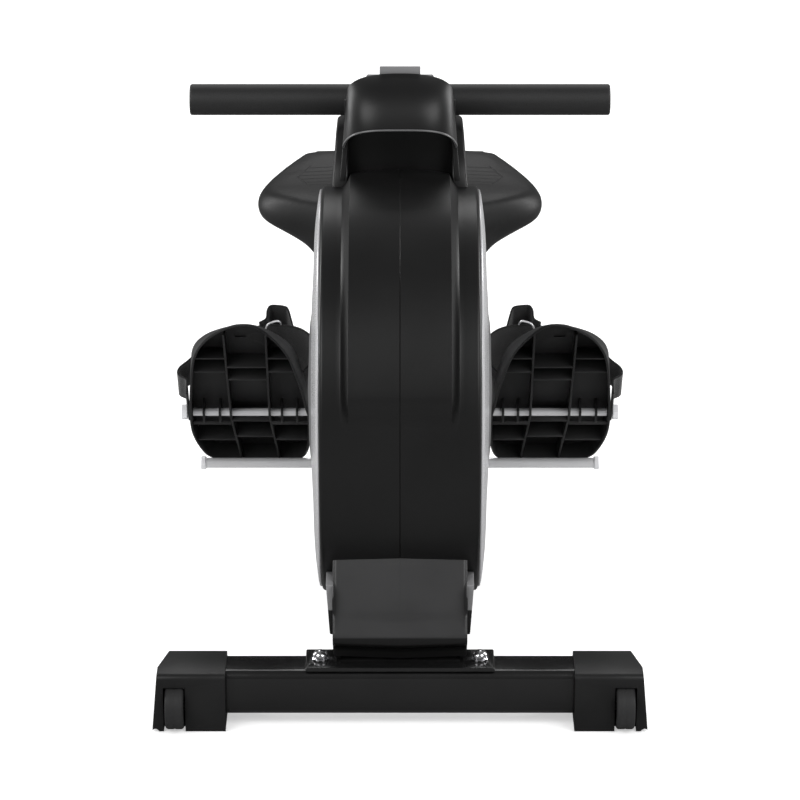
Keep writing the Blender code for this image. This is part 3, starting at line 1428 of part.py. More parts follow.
# Seat pan: the flat board that the cushion is fixed to
PAN_Z = TOP_Z + 0.003 + GAP
pan = extruded(
    [rounded(box_outline((-0.090, 0.090), (SEAT_Y - 0.062, SEAT_Y + 0.090)), 0.015, 3)],
    (0, 0, 0), X, Y, (PAN_Z, SEAT_BASE_Z - GAP),
)
piece("seat_pan", pan, BLACK_CASE, SEAT)


# Seat cushion: crowned, thin at the side tips, with sides drawn in towards the pan
def cushion_half(y):
    """Half width of the top edge at a place along the seat."""
    front = 0.812
    tip = 0.905
    back = 1.000
    if y <= tip:
        t = max(0.0, (y - front) / (tip - front))
        return 0.050 + (0.1795 - 0.050) * math.sin(math.pi / 2 * t) ** 0.75
    t = (y - tip) / (back - tip)
    return 0.1795 + (0.1175 - 0.1795) * t**1.15


def cushion_section(y):
    """A closed loop across the seat: the crowned top from left to right, then back under."""
    half = cushion_half(y)
    across = 10
    fade = min(1.0, max(0.0, (y - 0.812) / 0.188))
    edge = 0.2870 + 0.0300 * fade**1.6
    crown = 0.0180 - 0.0125 * fade
    dip = 0.0030 * math.sin(math.pi * fade)
    top = []
    for k in range(across + 1):
        t = -1 + 2 * k / across
        z = edge + crown * (1 - t * t) + dip * (t * t * (1 - t * t) * 4 - (1 - abs(t)) ** 3)
        top.append((half * t, y, z))
    inner = 0.88 + 0.12 * (1 - fade)
    base = min(0.107, half * inner) * (0.80 + 0.20 * math.sin(math.pi * min(1, max(0, fade * 1.02))))
    lip = edge - 0.010
    right = [(half * 0.992, y, lip)]
    right.append(((half + base) / 2 + 0.004, y, (lip + SEAT_BASE_Z) / 2 + 0.002))
    right.append((base + 0.003, y, SEAT_BASE_Z + 0.006))
    right += [(base - 0.002, y, SEAT_BASE_Z)]
    left = [(-px, py, pz) for px, py, pz in right[::-1]]
    return top + right + left


def cushion():
    places = [0.812, 0.8165, 0.826, 0.842, 0.862, 0.884, 0.905, 0.930, 0.955, 0.978, 0.994, 1.000]
    sections = []
    for i, y in enumerate(places):
        section = cushion_section(y)
        if i in (0, len(places) - 1):
            middle = 0.262
            section = [(x * 0.965, py, middle + (z - middle) * 0.86) for x, py, z in section]
        sections.append(section)
    return loft(sections)


piece("seat_cushion", cushion(), VINYL, SEAT)


# Cutters are kept out of the render, and turned faces are shaded smooth
for obj in CUTTERS.objects:
    obj.hide_render = True
    obj.display_type = "WIRE"
for obj in list(PARTS.objects) + list(CUTTERS.objects):
    if obj.type == "MESH":
        obj.data.shade_smooth()
        obj.data.set_sharp_from_angle(angle=math.radians(32))
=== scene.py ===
# %% [markdown]
# # A magnetic rowing machine, dressed
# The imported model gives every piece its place. This notebook gives each piece its surface, and models
# again the pieces whose real form is softer or finer than a plain solid: the cushion, the casing and others.

# %% Load the frame
import json
import math

import bmesh
import bpy
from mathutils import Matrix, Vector


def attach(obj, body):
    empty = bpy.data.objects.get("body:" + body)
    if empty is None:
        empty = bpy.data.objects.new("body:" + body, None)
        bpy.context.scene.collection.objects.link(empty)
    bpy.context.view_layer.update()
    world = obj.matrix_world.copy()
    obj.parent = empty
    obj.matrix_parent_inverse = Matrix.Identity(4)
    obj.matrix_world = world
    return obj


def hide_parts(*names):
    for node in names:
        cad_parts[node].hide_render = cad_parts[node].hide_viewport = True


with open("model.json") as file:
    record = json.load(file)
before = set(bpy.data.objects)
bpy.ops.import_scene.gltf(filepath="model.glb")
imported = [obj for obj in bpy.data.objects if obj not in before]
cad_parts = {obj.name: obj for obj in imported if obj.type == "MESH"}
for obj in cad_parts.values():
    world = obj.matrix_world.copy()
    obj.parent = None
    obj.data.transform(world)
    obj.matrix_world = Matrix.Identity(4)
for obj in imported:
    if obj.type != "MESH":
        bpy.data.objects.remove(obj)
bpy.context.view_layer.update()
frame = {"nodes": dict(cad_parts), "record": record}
nodes = frame["nodes"]
MID_Y = 0.8465


def at(x, y, z):
    """A place measured back from the front foot and up from the floor, in the frame's metres."""
    return Vector((x, y - MID_Y, z))


# %% [markdown]
# ## Camera
# The photograph is taken from the front, a little above the machine, with a long lens: the two sides
# match, so the camera stands on the middle plane and looks 21 degrees down. Its distance is assumed, and
# the focal length follows from it and from the width of the front foot.

# %% Camera
SENSOR_WIDTH = 36.0
PICTURE_WIDTH = 800
FOCAL_PIXELS = 3664.5
LOOK_DOWN = 21.084
camera_data = bpy.data.cameras.new("camera")
camera_data.sensor_width = SENSOR_WIDTH
camera_data.lens = FOCAL_PIXELS / PICTURE_WIDTH * SENSOR_WIDTH
camera_data.clip_end = 50
camera = bpy.data.objects.new("camera", camera_data)
bpy.context.scene.collection.objects.link(camera)
camera.location = at(0.0, -3.5306, 1.7240)
camera.rotation_euler = (math.radians(90 - LOOK_DOWN), 0.0, 0.0)
bpy.context.scene.camera = camera

# %% [markdown]
# ## Shader maths
# A material is a sum of simple fields: noise, waves, distances. One small class lets a field be written
# as plain arithmetic, and its one method node() adds any other shader node.


# %% Shader maths
class Field:
    """A socket of a shader tree that takes part in arithmetic."""

    def __init__(self, tree, socket):
        self.tree = tree
        self.socket = socket

    def node(self, kind, inputs=(), out=0, **settings):
        made = self.tree.nodes.new(kind)
        for key, value in settings.items():
            setattr(made, key, value)
        for key, value in dict(inputs).items():
            if isinstance(value, Field):
                self.tree.links.new(value.socket, made.inputs[key])
            else:
                made.inputs[key].default_value = value
        return Field(self.tree, made.outputs[out])

    def math(self, operation, *others):
        return self.node("ShaderNodeMath", enumerate((self, *others)), operation=operation)

    def __add__(self, other):
        return self.math("ADD", other)

    def __sub__(self, other):
        return self.math("SUBTRACT", other)

    def __rsub__(self, other):
        return (self * -1.0) + other

    def __mul__(self, other):
        return self.math("MULTIPLY", other)

    def abs(self):
        return self.math("ABSOLUTE")

    def sine(self):
        return self.math("SINE")

    def step(self, low, high):
        """0 below low, 1 above high, smooth between."""
        return self.node(
            "ShaderNodeMapRange",
            {"Value": self, "From Min": low, "From Max": high},
            interpolation_type="SMOOTHSTEP",
        )

    def noise(self, scale, detail=2.0, roughness=0.5, stretch=(1.0, 1.0, 1.0)):
        """Noise on a place field, about 0 to 1, with lumps about 1 / scale metres across."""
        placed = self.node("ShaderNodeMapping", {"Vector": self, "Scale": stretch})
        return self.node(
            "ShaderNodeTexNoise",
            {"Vector": placed, "Scale": scale, "Detail": detail, "Roughness": roughness},
            out="Fac",
        )

    def voronoi(self, scale):
        """Distance to the nearest of scattered points, about 1 / scale metres apart."""
        return self.node("ShaderNodeTexVoronoi", {"Vector": self, "Scale": scale}, out="Distance")

    def mix(self, first, second):
        """A colour that goes from first to second as this field goes from 0 to 1."""
        return self.node(
            "ShaderNodeMix",
            {0: self, 6: first, 7: second},
            out=2,
            data_type="RGBA",
            clamp_factor=True,
        )


def start_material(name, roughness=0.5, metallic=0.0):
    made = bpy.data.materials.new(name)
    made.use_nodes = True
    tree = made.node_tree
    shader = tree.nodes["Principled BSDF"]
    shader.inputs["Roughness"].default_value = roughness
    shader.inputs["Metallic"].default_value = metallic
    coordinates = tree.nodes.new("ShaderNodeTexCoord")
    place = Field(tree, coordinates.outputs["Object"])
    split = tree.nodes.new("ShaderNodeSeparateXYZ")
    tree.links.new(place.socket, split.inputs[0])
    axes = [Field(tree, split.outputs[i]) for i in range(3)]
    return made, shader, place, axes


def feed(shader, name, field):
    shader.id_data.links.new(field.socket, shader.inputs[name])


def relief(shader, height, distance):
    """A bump from a height field, whose full height is distance in metres."""
    inputs = {"Height": height, "Strength": 1.0, "Distance": distance}
    feed(shader, "Normal", height.node("ShaderNodeBump", inputs, out="Normal"))


def grey(value):
    """A grey with a trace of blue."""
    return (value, value, value * 1.02, 1.0)


def shaded(tone, share):
    """A colour made darker or lighter by a share."""
    return tuple(c * share for c in tone[:3]) + (1.0,)


# %% [markdown]
# ## Materials of the hard pieces
# Moulded plastic is never one flat colour: its grain scatters light and its tone is mottled, as by a little
# dust. Paint on steel is smoother, with a faint orange peel.


# %% Moulded plastic and paint
def moulded(name, tone, roughness, grain=1400.0, depth=0.00002, spread=0.25, coat=0.0, specular=0.5):
    """Moulded or painted surface: tone mottled by a slow noise, and a fine grain in the normal."""
    made, shader, place, _ = start_material(name, roughness)
    slow = place.noise(9.0, 3.0)
    fine = place.noise(grain, 2.0, 0.6)
    mottle = slow.step(0.25, 0.75)
    feed(shader, "Base Color", mottle.mix(shaded(tone, 1 - spread), shaded(tone, 1 + spread)))
    feed(shader, "Roughness", slow * 0.10 + fine * 0.08 + (roughness - 0.09))
    relief(shader, fine, depth)
    shader.inputs["Coat Weight"].default_value = coat
    shader.inputs["Coat Roughness"].default_value = 0.08
    shader.inputs["Specular IOR Level"].default_value = specular
    return made


def metal(name, tone, roughness, brush=(1.0, 1.0, 1.0), scale=500.0, depth=0.00001):
    """Bare metal with a brushed or turned grain and slight stains."""
    made, shader, place, _ = start_material(name, roughness, 1.0)
    lines = place.noise(scale, 3.0, 0.6, brush)
    stain = place.noise(14.0, 3.0)
    feed(shader, "Base Color", stain.step(0.3, 0.7).mix(shaded(tone, 0.86), tone))
    feed(shader, "Roughness", lines * 0.12 + stain * 0.06 + (roughness - 0.08))
    relief(shader, lines, depth)
    return made


def dress(look, *names):
    for name in names:
        for slot in nodes[name].material_slots:
            slot.material = look


def both(name):
    return (name + "_left", name + "_right")


gloss_black = moulded("gloss_black", grey(0.006), 0.22, 260.0, 0.00002, 0.2, coat=0.25)
case_black = moulded("case_black", grey(0.005), 0.40, 1500.0, 0.00001, 0.2, specular=0.4)
head_black = moulded("head_black", grey(0.007), 0.40, 1500.0, 0.00001, 0.2, specular=0.4)
# Light grey for the hood's lip and rims: a painted highlight along the edges.
lip_painted_highlight = moulded("lip_painted_highlight", grey(0.12), 0.35, 1500.0, 0.00001, 0.1)
cover_grey = moulded("cover_grey", grey(0.030), 0.40, 1300.0, 0.00002, 0.12, specular=0.4)
cap_black = moulded("cap_black", grey(0.010), 0.42, 1200.0, 0.00003, 0.25, specular=0.3)
rib_black = moulded("rib_black", grey(0.021), 0.48, 1200.0, 0.00003, 0.2, specular=0.25)
dome_grey = moulded("dome_grey", grey(0.12), 0.5, 1400.0, 0.00002, 0.08, specular=0.2)
light_grey = moulded("light_grey", grey(0.20), 0.45, 1500.0, 0.00002, 0.06)
mid_grey = moulded("mid_grey", grey(0.16), 0.42, 1400.0, 0.00002, 0.08)
rubber = moulded("rubber", grey(0.022), 0.62, 700.0, 0.00005, 0.3, specular=0.3)
chrome = metal("chrome", (0.80, 0.80, 0.82, 1.0), 0.13)
steel = metal("steel", (0.50, 0.51, 0.52, 1.0), 0.34)
rail_metal = metal("rail_metal", (0.56, 0.57, 0.58, 1.0), 0.52, (1.0, 0.02, 1.0), 700.0)
iron = metal("iron", (0.16, 0.16, 0.165, 1.0), 0.5)

dress(gloss_black, "front_stabiliser", "leg_bracket", "main_beam", "middle_foot", "rear_stabiliser")
dress(gloss_black, *both("chassis_plate"), "rail_tongue", "seat_carriage")
dress(case_black, *both("casing"), "seat_pan", "lock_pin")
dress(head_black, "head_cover")
dress(cap_black, *both("front_cap"), "tension_knob")
dress(rib_black, *both("pedal"))
dress(dome_grey, *both("hub_dome"))
dress(cover_grey, *both("console_button"))
dress(light_grey, "console_housing", "console_tab")
dress(mid_grey, "guide_roller", "belt_pulley", "seat_roller_front", "seat_roller_rear")
dress(mid_grey, *both("seat_roller_lower"))
dress(rubber, *both("transport_wheel"), "drive_belt", *both("rear_cap"))


def tipped(name, first, second, limit):
    """A turned bar whose ends, beyond a distance from the middle, are another material."""
    made, shader, place, axes = start_material(name, 0.16)
    ends = axes[0].abs().step(limit - 0.0001, limit + 0.0001)
    lines = place.noise(600.0, 2.0, 0.6)
    feed(shader, "Base Color", ends.mix(first, second))
    feed(shader, "Metallic", (1.0 - ends) * 0.45)
    feed(shader, "Roughness", ends * 0.22 + lines * 0.08 + 0.08)
    relief(shader, lines, 0.00001)
    return made


axle_chrome = tipped("axle_chrome", grey(0.92), grey(0.85), 0.2445)
heel_chrome = tipped("heel_chrome", grey(0.92), grey(0.85), 0.2262)
wire_chrome = tipped("wire_chrome", grey(0.88), grey(0.88), 0.3)
dress(chrome, *both("base_bolt"), "pivot_bolt")
dress(wire_chrome, *both("strap_ring"))
dress(axle_chrome, "pedal_axle")
dress(heel_chrome, "heel_bar")
dress(steel, "head_bracket", "flywheel_axle", "brake_arm", "handlebar")
dress(rail_metal, "rail")
dress(iron, "flywheel")

# %% [markdown]
# ## Silver side discs
# The discs are sprayed in a silver paint: a clear, bright metal flake under a thin coat.

# %% Silver paint
silver, shader, place, _ = start_material("silver_paint", 0.30, 0.35)
flake = place.voronoi(2600.0)
slow = place.noise(6.0, 2.0)
feed(shader, "Base Color", (flake * 0.5 + slow * 0.5).step(0.2, 0.8).mix(grey(0.60), grey(0.70)))
feed(shader, "Roughness", slow * 0.08 + flake * 0.06 + 0.22)
shader.inputs["Coat Weight"].default_value = 0.3
shader.inputs["Coat Roughness"].default_value = 0.1
relief(shader, flake, 0.00001)
dress(silver, *both("side_disc"))

# %% [markdown]
# ## Webbing
# The straps are woven: a twill whose ribs cross the band. Each strap bends, so the weave is laid on the
# height and on the way across, which stay in step along the band.


# %% Webbing
WEAVE_PITCH = 0.0016


def webbing(name, tone):
    made, shader, place, axes = start_material(name, 0.8)
    run = axes[2] * (2 * math.pi / WEAVE_PITCH)
    side = axes[0] * (2 * math.pi / WEAVE_PITCH)
    ribs = (run + side.sine() * 1.4).sine() * 0.5 + 0.5
    threads = place.noise(2600.0, 2.0, 0.6)
    weave = ribs * 0.7 + threads * 0.3
    feed(shader, "Base Color", weave.step(0.2, 0.85).mix(shaded(tone, 0.45), tone))
    feed(shader, "Roughness", weave * -0.12 + 0.9)
    relief(shader, weave, 0.00025)
    shader.inputs["Sheen Weight"].default_value = 0.25
    return made


foot_webbing = webbing("foot_webbing", grey(0.009))
pull_webbing = webbing("pull_webbing", grey(0.022))
dress(foot_webbing, *both("foot_strap"))
dress(pull_webbing, "pull_strap", "strap_reel")

# %% [markdown]
# ## Foam grips
# The grips are closed cell foam: a dull skin with fine open pores.

# %% Foam
foam, shader, place, _ = start_material("grip_foam", 0.6)
pores = place.voronoi(900.0)
soft = place.noise(2200.0, 3.0, 0.7)
feed(shader, "Base Color", (pores * 0.8 + soft * 0.2).step(0.15, 0.6).mix(grey(0.005), grey(0.013)))
feed(shader, "Roughness", soft * 0.08 + 0.54)
relief(shader, pores * 0.7 + soft * 0.3, 0.00008)
dress(foam, *both("grip"))

# %% [markdown]
# ## Display
# The screen is a dark window over a grey liquid crystal panel.

# %% Display
display, shader, place, axes = start_material("display", 0.12)
window = axes[0].abs().step(0.0240, 0.0244) * -1.0 + 1.0
shade = place.noise(40.0, 2.0)
feed(shader, "Base Color", window.mix(grey(0.010), (0.12, 0.14, 0.12, 1.0)))
feed(shader, "Roughness", shade * 0.05 + 0.10)
dress(display, "console_screen")

# %% [markdown]
# ## Finer copies of the hard pieces
# The solids are plain: sharp corners and flat facets. On the real machine every moulded or folded edge has
# a small radius that catches the light. Each visible solid is copied, its edges are rounded with a bevel, and
# its curved faces are shaded smooth. The console is then sunk along its face, and the pedal axle slimmed
# between its ends, as the photograph shows them.

# %% Finer copies
bodies = frame["record"]["behaviour"]["bodies"]
body_of = {node: body for body, members in bodies.items() for node in members}


def select_only(obj):
    bpy.ops.object.select_all(action="DESELECT")
    obj.select_set(True)
    bpy.context.view_layer.objects.active = obj


def apply(obj, modifier):
    select_only(obj)
    bpy.ops.object.modifier_apply(modifier=modifier.name)


def smooth(obj, angle=30):
    select_only(obj)
    bpy.ops.object.shade_smooth_by_angle(angle=math.radians(angle))
    return obj


def copy_of(name, new_name):
    """A loose copy of a solid's mesh, with its doubled points merged and its flat faces whole."""
    made = bpy.data.objects.new(new_name, nodes[name].data.copy())
    bpy.context.scene.collection.objects.link(made)
    select_only(made)
    bpy.ops.object.mode_set(mode="EDIT")
    bpy.ops.mesh.select_all(action="SELECT")
    bpy.ops.mesh.remove_doubles(threshold=0.00001)
    bpy.ops.mesh.dissolve_limited(angle_limit=math.radians(1.0))
    bpy.ops.mesh.normals_make_consistent(inside=False)
    bpy.ops.object.mode_set(mode="OBJECT")
    return made


def add_bevel(obj, width, segments=3, angle=34):
    modifier = obj.modifiers.new("round", "BEVEL")
    modifier.width = width
    modifier.segments = segments
    modifier.limit_method = "ANGLE"
    modifier.angle_limit = math.radians(angle)
    modifier.miter_outer = "MITER_ARC"
    apply(obj, modifier)


def stand_in(obj, *names):
    """The piece takes the place of solids: it rides on their body and carries their material."""
    for name in names:
        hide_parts(name)
    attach(obj, body_of[names[0]])
    if not obj.data.materials:
        obj.data.materials.append(nodes[names[0]].material_slots[0].material)


def finer(name, width):
    made = copy_of(name, "fine_" + name)
    if width:
        add_bevel(made, width)
    stand_in(smooth(made), name)


ROUNDED = {
    0.0004: ["leg_bracket", "console_screen", "pivot_bolt", "head_bracket"],
    0.0003: ["pull_strap", *both("console_button"), "brake_arm", "flywheel"],
    0.0008: [*both("chassis_plate"), "main_beam", "rail_tongue", "seat_carriage", "rail"],
    0.0010: ["middle_foot", "rear_stabiliser", "console_housing", "lock_pin", "tension_knob"],
    0.0006: ["handlebar", "guide_roller", "seat_roller_front", "seat_roller_rear", "belt_pulley"],
    0.0015: [*both("rear_cap"), *both("front_cap")],
}
for width, names in ROUNDED.items():
    for name in names:
        finer(name, width)
for name in ("pedal_axle", "heel_bar"):
    finer(name, 0.0)
CONSOLE_OUT = Vector((0.0, 0.523, 0.852))
CONSOLE_SINK = 0.0035
for name in ("console_housing", "console_screen", *both("console_button")):
    for vertex in bpy.data.objects["fine_" + name].data.vertices:
        vertex.co -= CONSOLE_OUT * CONSOLE_SINK
PEDAL_AXIS = at(0, 0.410, 0.190)
AXLE_R = 0.0047
AXLE_SOLID_R = 0.0068
AXLE_ENDS = 0.2452
for vertex in bpy.data.objects["fine_pedal_axle"].data.vertices:
    across = vertex.co - PEDAL_AXIS
    across.x = 0.0
    if abs(vertex.co.x) < AXLE_ENDS and across.length < AXLE_SOLID_R:
        vertex.co += across * (AXLE_R / across.length - 1)

# %% [markdown]
# ## Tools for curved pieces
# A curved moulding is made from a grid plane whose points are placed by a formula, a flat plate from a filled
# circle of points pulled out to its thickness, and a round piece from a profile spun round its axis. Walls
# and rounded edges follow. What the machine has on both sides is modelled on the right and mirrored.


# %% Tools for curved pieces
def unit(value):
    """A number kept between 0 and 1."""
    return min(1.0, max(0.0, value))


def face_out(obj, merge=0.0):
    """Merges points closer than a distance, if one is given, and turns all faces outwards."""
    select_only(obj)
    bpy.ops.object.mode_set(mode="EDIT")
    bpy.ops.mesh.select_all(action="SELECT")
    if merge:
        bpy.ops.mesh.remove_doubles(threshold=merge)
    bpy.ops.mesh.normals_make_consistent(inside=False)
    bpy.ops.object.mode_set(mode="OBJECT")


def flip(obj):
    select_only(obj)
    bpy.ops.object.mode_set(mode="EDIT")
    bpy.ops.mesh.select_all(action="SELECT")
    bpy.ops.mesh.flip_normals()
    bpy.ops.object.mode_set(mode="OBJECT")


def through(points, steps=6, closed=False):
    """A smooth run of points that passes through the ones given."""
    count = len(points)
    spans = count if closed else count - 1
    found = []
    for i in range(spans):
        a, b, c, d = [
            Vector(points[k % count] if closed else points[min(max(k, 0), count - 1)])
            for k in range(i - 1, i + 3)
        ]
        for j in range(steps):
            t = j / steps
            bend = 2 * a - 5 * b + 4 * c - d
            found.append(b + ((c - a) * t + bend * t * t + (3 * b - a - 3 * c + d) * t**3) / 2)
    if not closed:
        found.append(Vector(points[-1]))
    return found


def sheet(name, across, along, shape):
    """A grid whose point at (u, v), each from 0 to 1, is put at shape(u, v)."""
    bpy.ops.mesh.primitive_grid_add(
        x_subdivisions=across, y_subdivisions=along, size=1, location=(0.5, 0.5, 0)
    )
    made = bpy.context.active_object
    bpy.ops.object.transform_apply(location=True, rotation=True, scale=True)
    made.name = name
    for vertex in made.data.vertices:
        vertex.co = shape(vertex.co.x, vertex.co.y)
    bpy.ops.object.mode_set(mode="EDIT")
    bpy.ops.mesh.select_all(action="SELECT")
    bpy.ops.mesh.remove_doubles(threshold=0.00002)
    bpy.ops.object.mode_set(mode="OBJECT")
    return made


def plate(name, outline, near, far):
    """A flat shape: its outline placed by near(point), pulled out to far(point)."""
    count = len(outline)
    bpy.ops.mesh.primitive_circle_add(vertices=count, radius=1, fill_type="NGON", location=(0, 0, 0))
    made = bpy.context.active_object
    made.name = name
    for vertex, point in zip(made.data.vertices, outline):
        vertex.co = near(point)
    bpy.ops.object.mode_set(mode="EDIT")
    bpy.ops.mesh.select_all(action="SELECT")
    bpy.ops.mesh.extrude_region_move()
    bpy.ops.object.mode_set(mode="OBJECT")
    moved = [vertex for vertex in made.data.vertices if vertex.select]
    for vertex in moved:
        index = min(range(count), key=lambda k: (vertex.co - near(outline[k])).length)
        vertex.co = far(outline[index])
    face_out(made)
    return made


def side_view(x):
    """Places points of the side view at x across the machine."""
    return lambda p: at(x, p[0], p[1])


def turned(name, profile, centre, axis="X", steps=96):
    """A turned shape: (along, radius) points spun round the X or Z axis through the centre."""
    bpy.ops.mesh.primitive_plane_add(size=0.01, location=(0, 0, 0))
    made = bpy.context.active_object
    made.name = name
    ways = [Vector((1, 0, 0)), Vector((0, 0, 1))]
    spin, out = ways if axis == "X" else reversed(ways)
    bpy.ops.object.mode_set(mode="EDIT")
    mesh = bmesh.from_edit_mesh(made.data)
    bmesh.ops.delete(mesh, geom=list(mesh.verts), context="VERTS")
    points = [mesh.verts.new(centre + spin * along + out * radius) for along, radius in profile]
    for first, second in zip(points, points[1:]):
        mesh.edges.new((first, second))
    bmesh.update_edit_mesh(made.data)
    bpy.ops.mesh.select_all(action="SELECT")
    bpy.ops.mesh.spin(steps=steps, angle=2 * math.pi, center=centre, axis=spin)
    bpy.ops.object.mode_set(mode="OBJECT")
    face_out(made, 0.00002)
    return made


def box(name, low, high, round_by, segments=2):
    bpy.ops.mesh.primitive_cube_add(size=1, location=(low + high) / 2)
    made = bpy.context.active_object
    made.name = name
    made.scale = high - low
    bpy.ops.object.transform_apply(location=True, rotation=True, scale=True)
    add_bevel(made, round_by, segments)
    return made


def open_box(obj, low, high):
    """Cuts a skin along the sides of a box and takes out the faces inside it."""
    select_only(obj)
    bpy.ops.object.mode_set(mode="EDIT")
    for axis in range(3):
        for limit in (low, high):
            normal = Vector([float(k == axis) for k in range(3)])
            bpy.ops.mesh.select_all(action="SELECT")
            bpy.ops.mesh.bisect(plane_co=limit, plane_no=normal)
    mesh = bmesh.from_edit_mesh(obj.data)
    for face in mesh.faces:
        middle = face.calc_center_median()
        face.select_set(all(low[k] < middle[k] < high[k] for k in range(3)))
    bmesh.update_edit_mesh(obj.data)
    bpy.ops.mesh.delete(type="FACE")
    bpy.ops.object.mode_set(mode="OBJECT")


def add_wall(obj, thickness, offset=-1.0, rim=0):
    """Gives a skin a thickness, inwards or by another offset, with the rim in one of its materials."""
    wall = obj.modifiers.new("wall", "SOLIDIFY")
    wall.thickness = thickness
    wall.offset = offset
    wall.material_offset_rim = rim
    apply(obj, wall)


def cut_with(obj, cutter):
    modifier = obj.modifiers.new("cut", "BOOLEAN")
    modifier.operation = "DIFFERENCE"
    modifier.solver = "EXACT"
    modifier.object = cutter
    apply(obj, modifier)
    bpy.data.objects.remove(cutter, do_unlink=True)


def join(name, pieces):
    bpy.ops.object.select_all(action="DESELECT")
    for piece in pieces:
        piece.select_set(True)
    bpy.context.view_layer.objects.active = pieces[0]
    bpy.ops.object.join()
    pieces[0].name = name
    return pieces[0]


def mirror_copy(obj, name):
    """A copy on the other side of the middle plane, with a mesh of its own."""
    made = obj.copy()
    made.data = obj.data.copy()
    made.name = name
    bpy.context.scene.collection.objects.link(made)
    for vertex in made.data.vertices:
        vertex.co.x = -vertex.co.x
    flip(made)
    return made


def stand_in_pair(right, name, node):
    """A piece of the right side and its mirrored copy take the places of a pair of solids."""
    right.name = name + "_right"
    left = mirror_copy(right, name + "_left")
    stand_in(right, node + "_right")
    stand_in(left, node + "_left")
    print(name, "of each side", [round(v, 4) for v in right.dimensions])


# %% [markdown]
# ## Casing
# The casing is two moulded halves that meet on the middle plane. Down the front runs a raised spine with
# crisp edges, which sinks into the drum near the bottom. Each half is a profile spun round the axle; the
# points under the spine are then lifted along the radius, and the skin is opened for the front leg, for the
# beam in front and behind, and for the strap. The right half alone has a tongue that reaches into the left
# one, so they aren't mirrored.

# %% Casing
DRUM = at(0.0, 0.200, 0.300)
DRUM_R = 0.2204
DRUM_CORNER = 0.004
CASING_WALL = 0.0026
SPINE_PROUD = 0.0176
SPINE_HALF = 0.0625
SPINE_FLANK = 0.0092
SPINE_END = 116
CASING_OPENINGS = (
    (at(-0.0687, -0.05, 0.05), at(0.0687, 0.076, 0.1715)),
    (at(-0.0212, 0.05, 0.0500), at(0.0212, 0.10, 0.1807)),
    (at(-0.0212, 0.29, 0.0500), at(0.0212, 0.44, 0.1807)),
    (at(-0.0200, 0.262, 0.49), at(0.0200, 0.295, 0.56)),
)


def spine_lift(x, angle):
    """How far the surface stands proud of the drum, at a place across it and an angle up from the front."""
    if angle > SPINE_END:
        return 0.0
    rise = unit((angle - 9.0) / 9.0)
    rise = rise * rise * (3 - 2 * rise)
    across = unit((SPINE_HALF - abs(x)) / SPINE_FLANK)
    foot = across * across * (1.55 - 0.55 * across)
    high = unit((angle - 70.0) / 35.0)
    return (SPINE_PROUD - 1.7 * x * x * high) * rise * foot


def half_casing(side, name):
    edge = [(-0.0022, 0.2156), (0.00015, 0.2156)] if side > 0 else [(0.00015, 0.2164)]
    profile = edge + [(0.00015, 0.2200), (0.0006, DRUM_R)]
    profile += [(x, DRUM_R) for x in (0.010, 0.020, 0.030, 0.040, 0.048, 0.0515, 0.0527, 0.0533, 0.0540)]
    profile += [(x, DRUM_R) for x in (0.0550, 0.0562, 0.0576, 0.0590, 0.0604, 0.0616, 0.0625, 0.068, 0.079)]
    for k in range(9):
        turn = math.pi / 2 * k / 8
        reach_out = DRUM_R - DRUM_CORNER + DRUM_CORNER * math.cos(turn)
        profile.append((0.080 + DRUM_CORNER * math.sin(turn), reach_out))
    profile.append((0.084, 0.2085))
    made = turned(name, [(side * x, r) for x, r in profile], DRUM, "X", 192)
    for vertex in made.data.vertices:
        y = DRUM.y - vertex.co.y
        z = vertex.co.z - DRUM.z
        radius = math.hypot(y, z)
        lift = spine_lift(vertex.co.x, math.degrees(math.atan2(z, y)))
        vertex.co.y -= y / radius * lift
        vertex.co.z += z / radius * lift
    return made


for side, name in ((-1, "left"), (1, "right")):
    half = half_casing(side, "drum_" + name)
    for low, high in CASING_OPENINGS:
        open_box(half, low, high)
    add_wall(half, CASING_WALL)
    stand_in(smooth(half, 24), "casing_" + name)
    print(half.name, "faces", len(half.data.polygons))

# %% [markdown]
# ## Head cover
# The head is one moulding: a hood with a rounded top and a lip, which shades a flat recess, two side walls
# that spread downwards, and two arms outside them that carry the bar. The hood is a curved sheet with a wall.
# Its roof is opened under the console's buttons, so that they can be pressed. A thin bead runs along its lip,
# and the bead and the hood's cut rims are coloured light grey as a painted highlight along the edges. The
# walls and arms are plates with rounded edges. A light tab stands above the hood.


# %% Head cover
HEAD_HALF = 0.0567
HEAD_BACK = 0.3095
HEAD_WALL = 0.0026
BEAD_R = 0.0011


def spread(z):
    """The head widens downwards."""
    return 1.0 + (0.620 - z) * 1.55


def hood_shape(u, v):
    angle = math.pi * (u - 0.5)
    across = math.copysign(abs(math.sin(angle)) ** 0.8, angle)
    turn = max(0.0, math.cos(angle))
    round_in = (1 - turn) ** 1.4
    lip = Vector((0.210 + 0.040 * round_in, 0.589 - 0.0315 * round_in))
    top = Vector((0.252, 0.620 + 0.0200 * turn**0.9))
    if v <= 0.5:
        t = v / 0.5
        bend = (lip + top) / 2 + Vector((-0.015, 0.010))
        spot = lip * (1 - t) ** 2 + bend * 2 * t * (1 - t) + top * t * t
    elif v <= 0.75:
        t = (v - 0.5) / 0.25
        spot = top.lerp(Vector((HEAD_BACK, top.y - 0.035)), t)
    else:
        t = (v - 0.75) / 0.25
        spot = Vector((HEAD_BACK, (top.y - 0.035) * (1 - t) + 0.486 * t))
    return at(HEAD_HALF * across * spread(spot.y), spot.x, spot.y)


def bead_shape(u, v):
    """A thin rounded bead along the hood's front edge."""
    turn = 2 * math.pi * v
    ring = Vector((0, BEAD_R * math.cos(turn) - 0.0004, BEAD_R * math.sin(turn) + 0.0004))
    return hood_shape(0.02 + 0.96 * u, 0.0) + ring


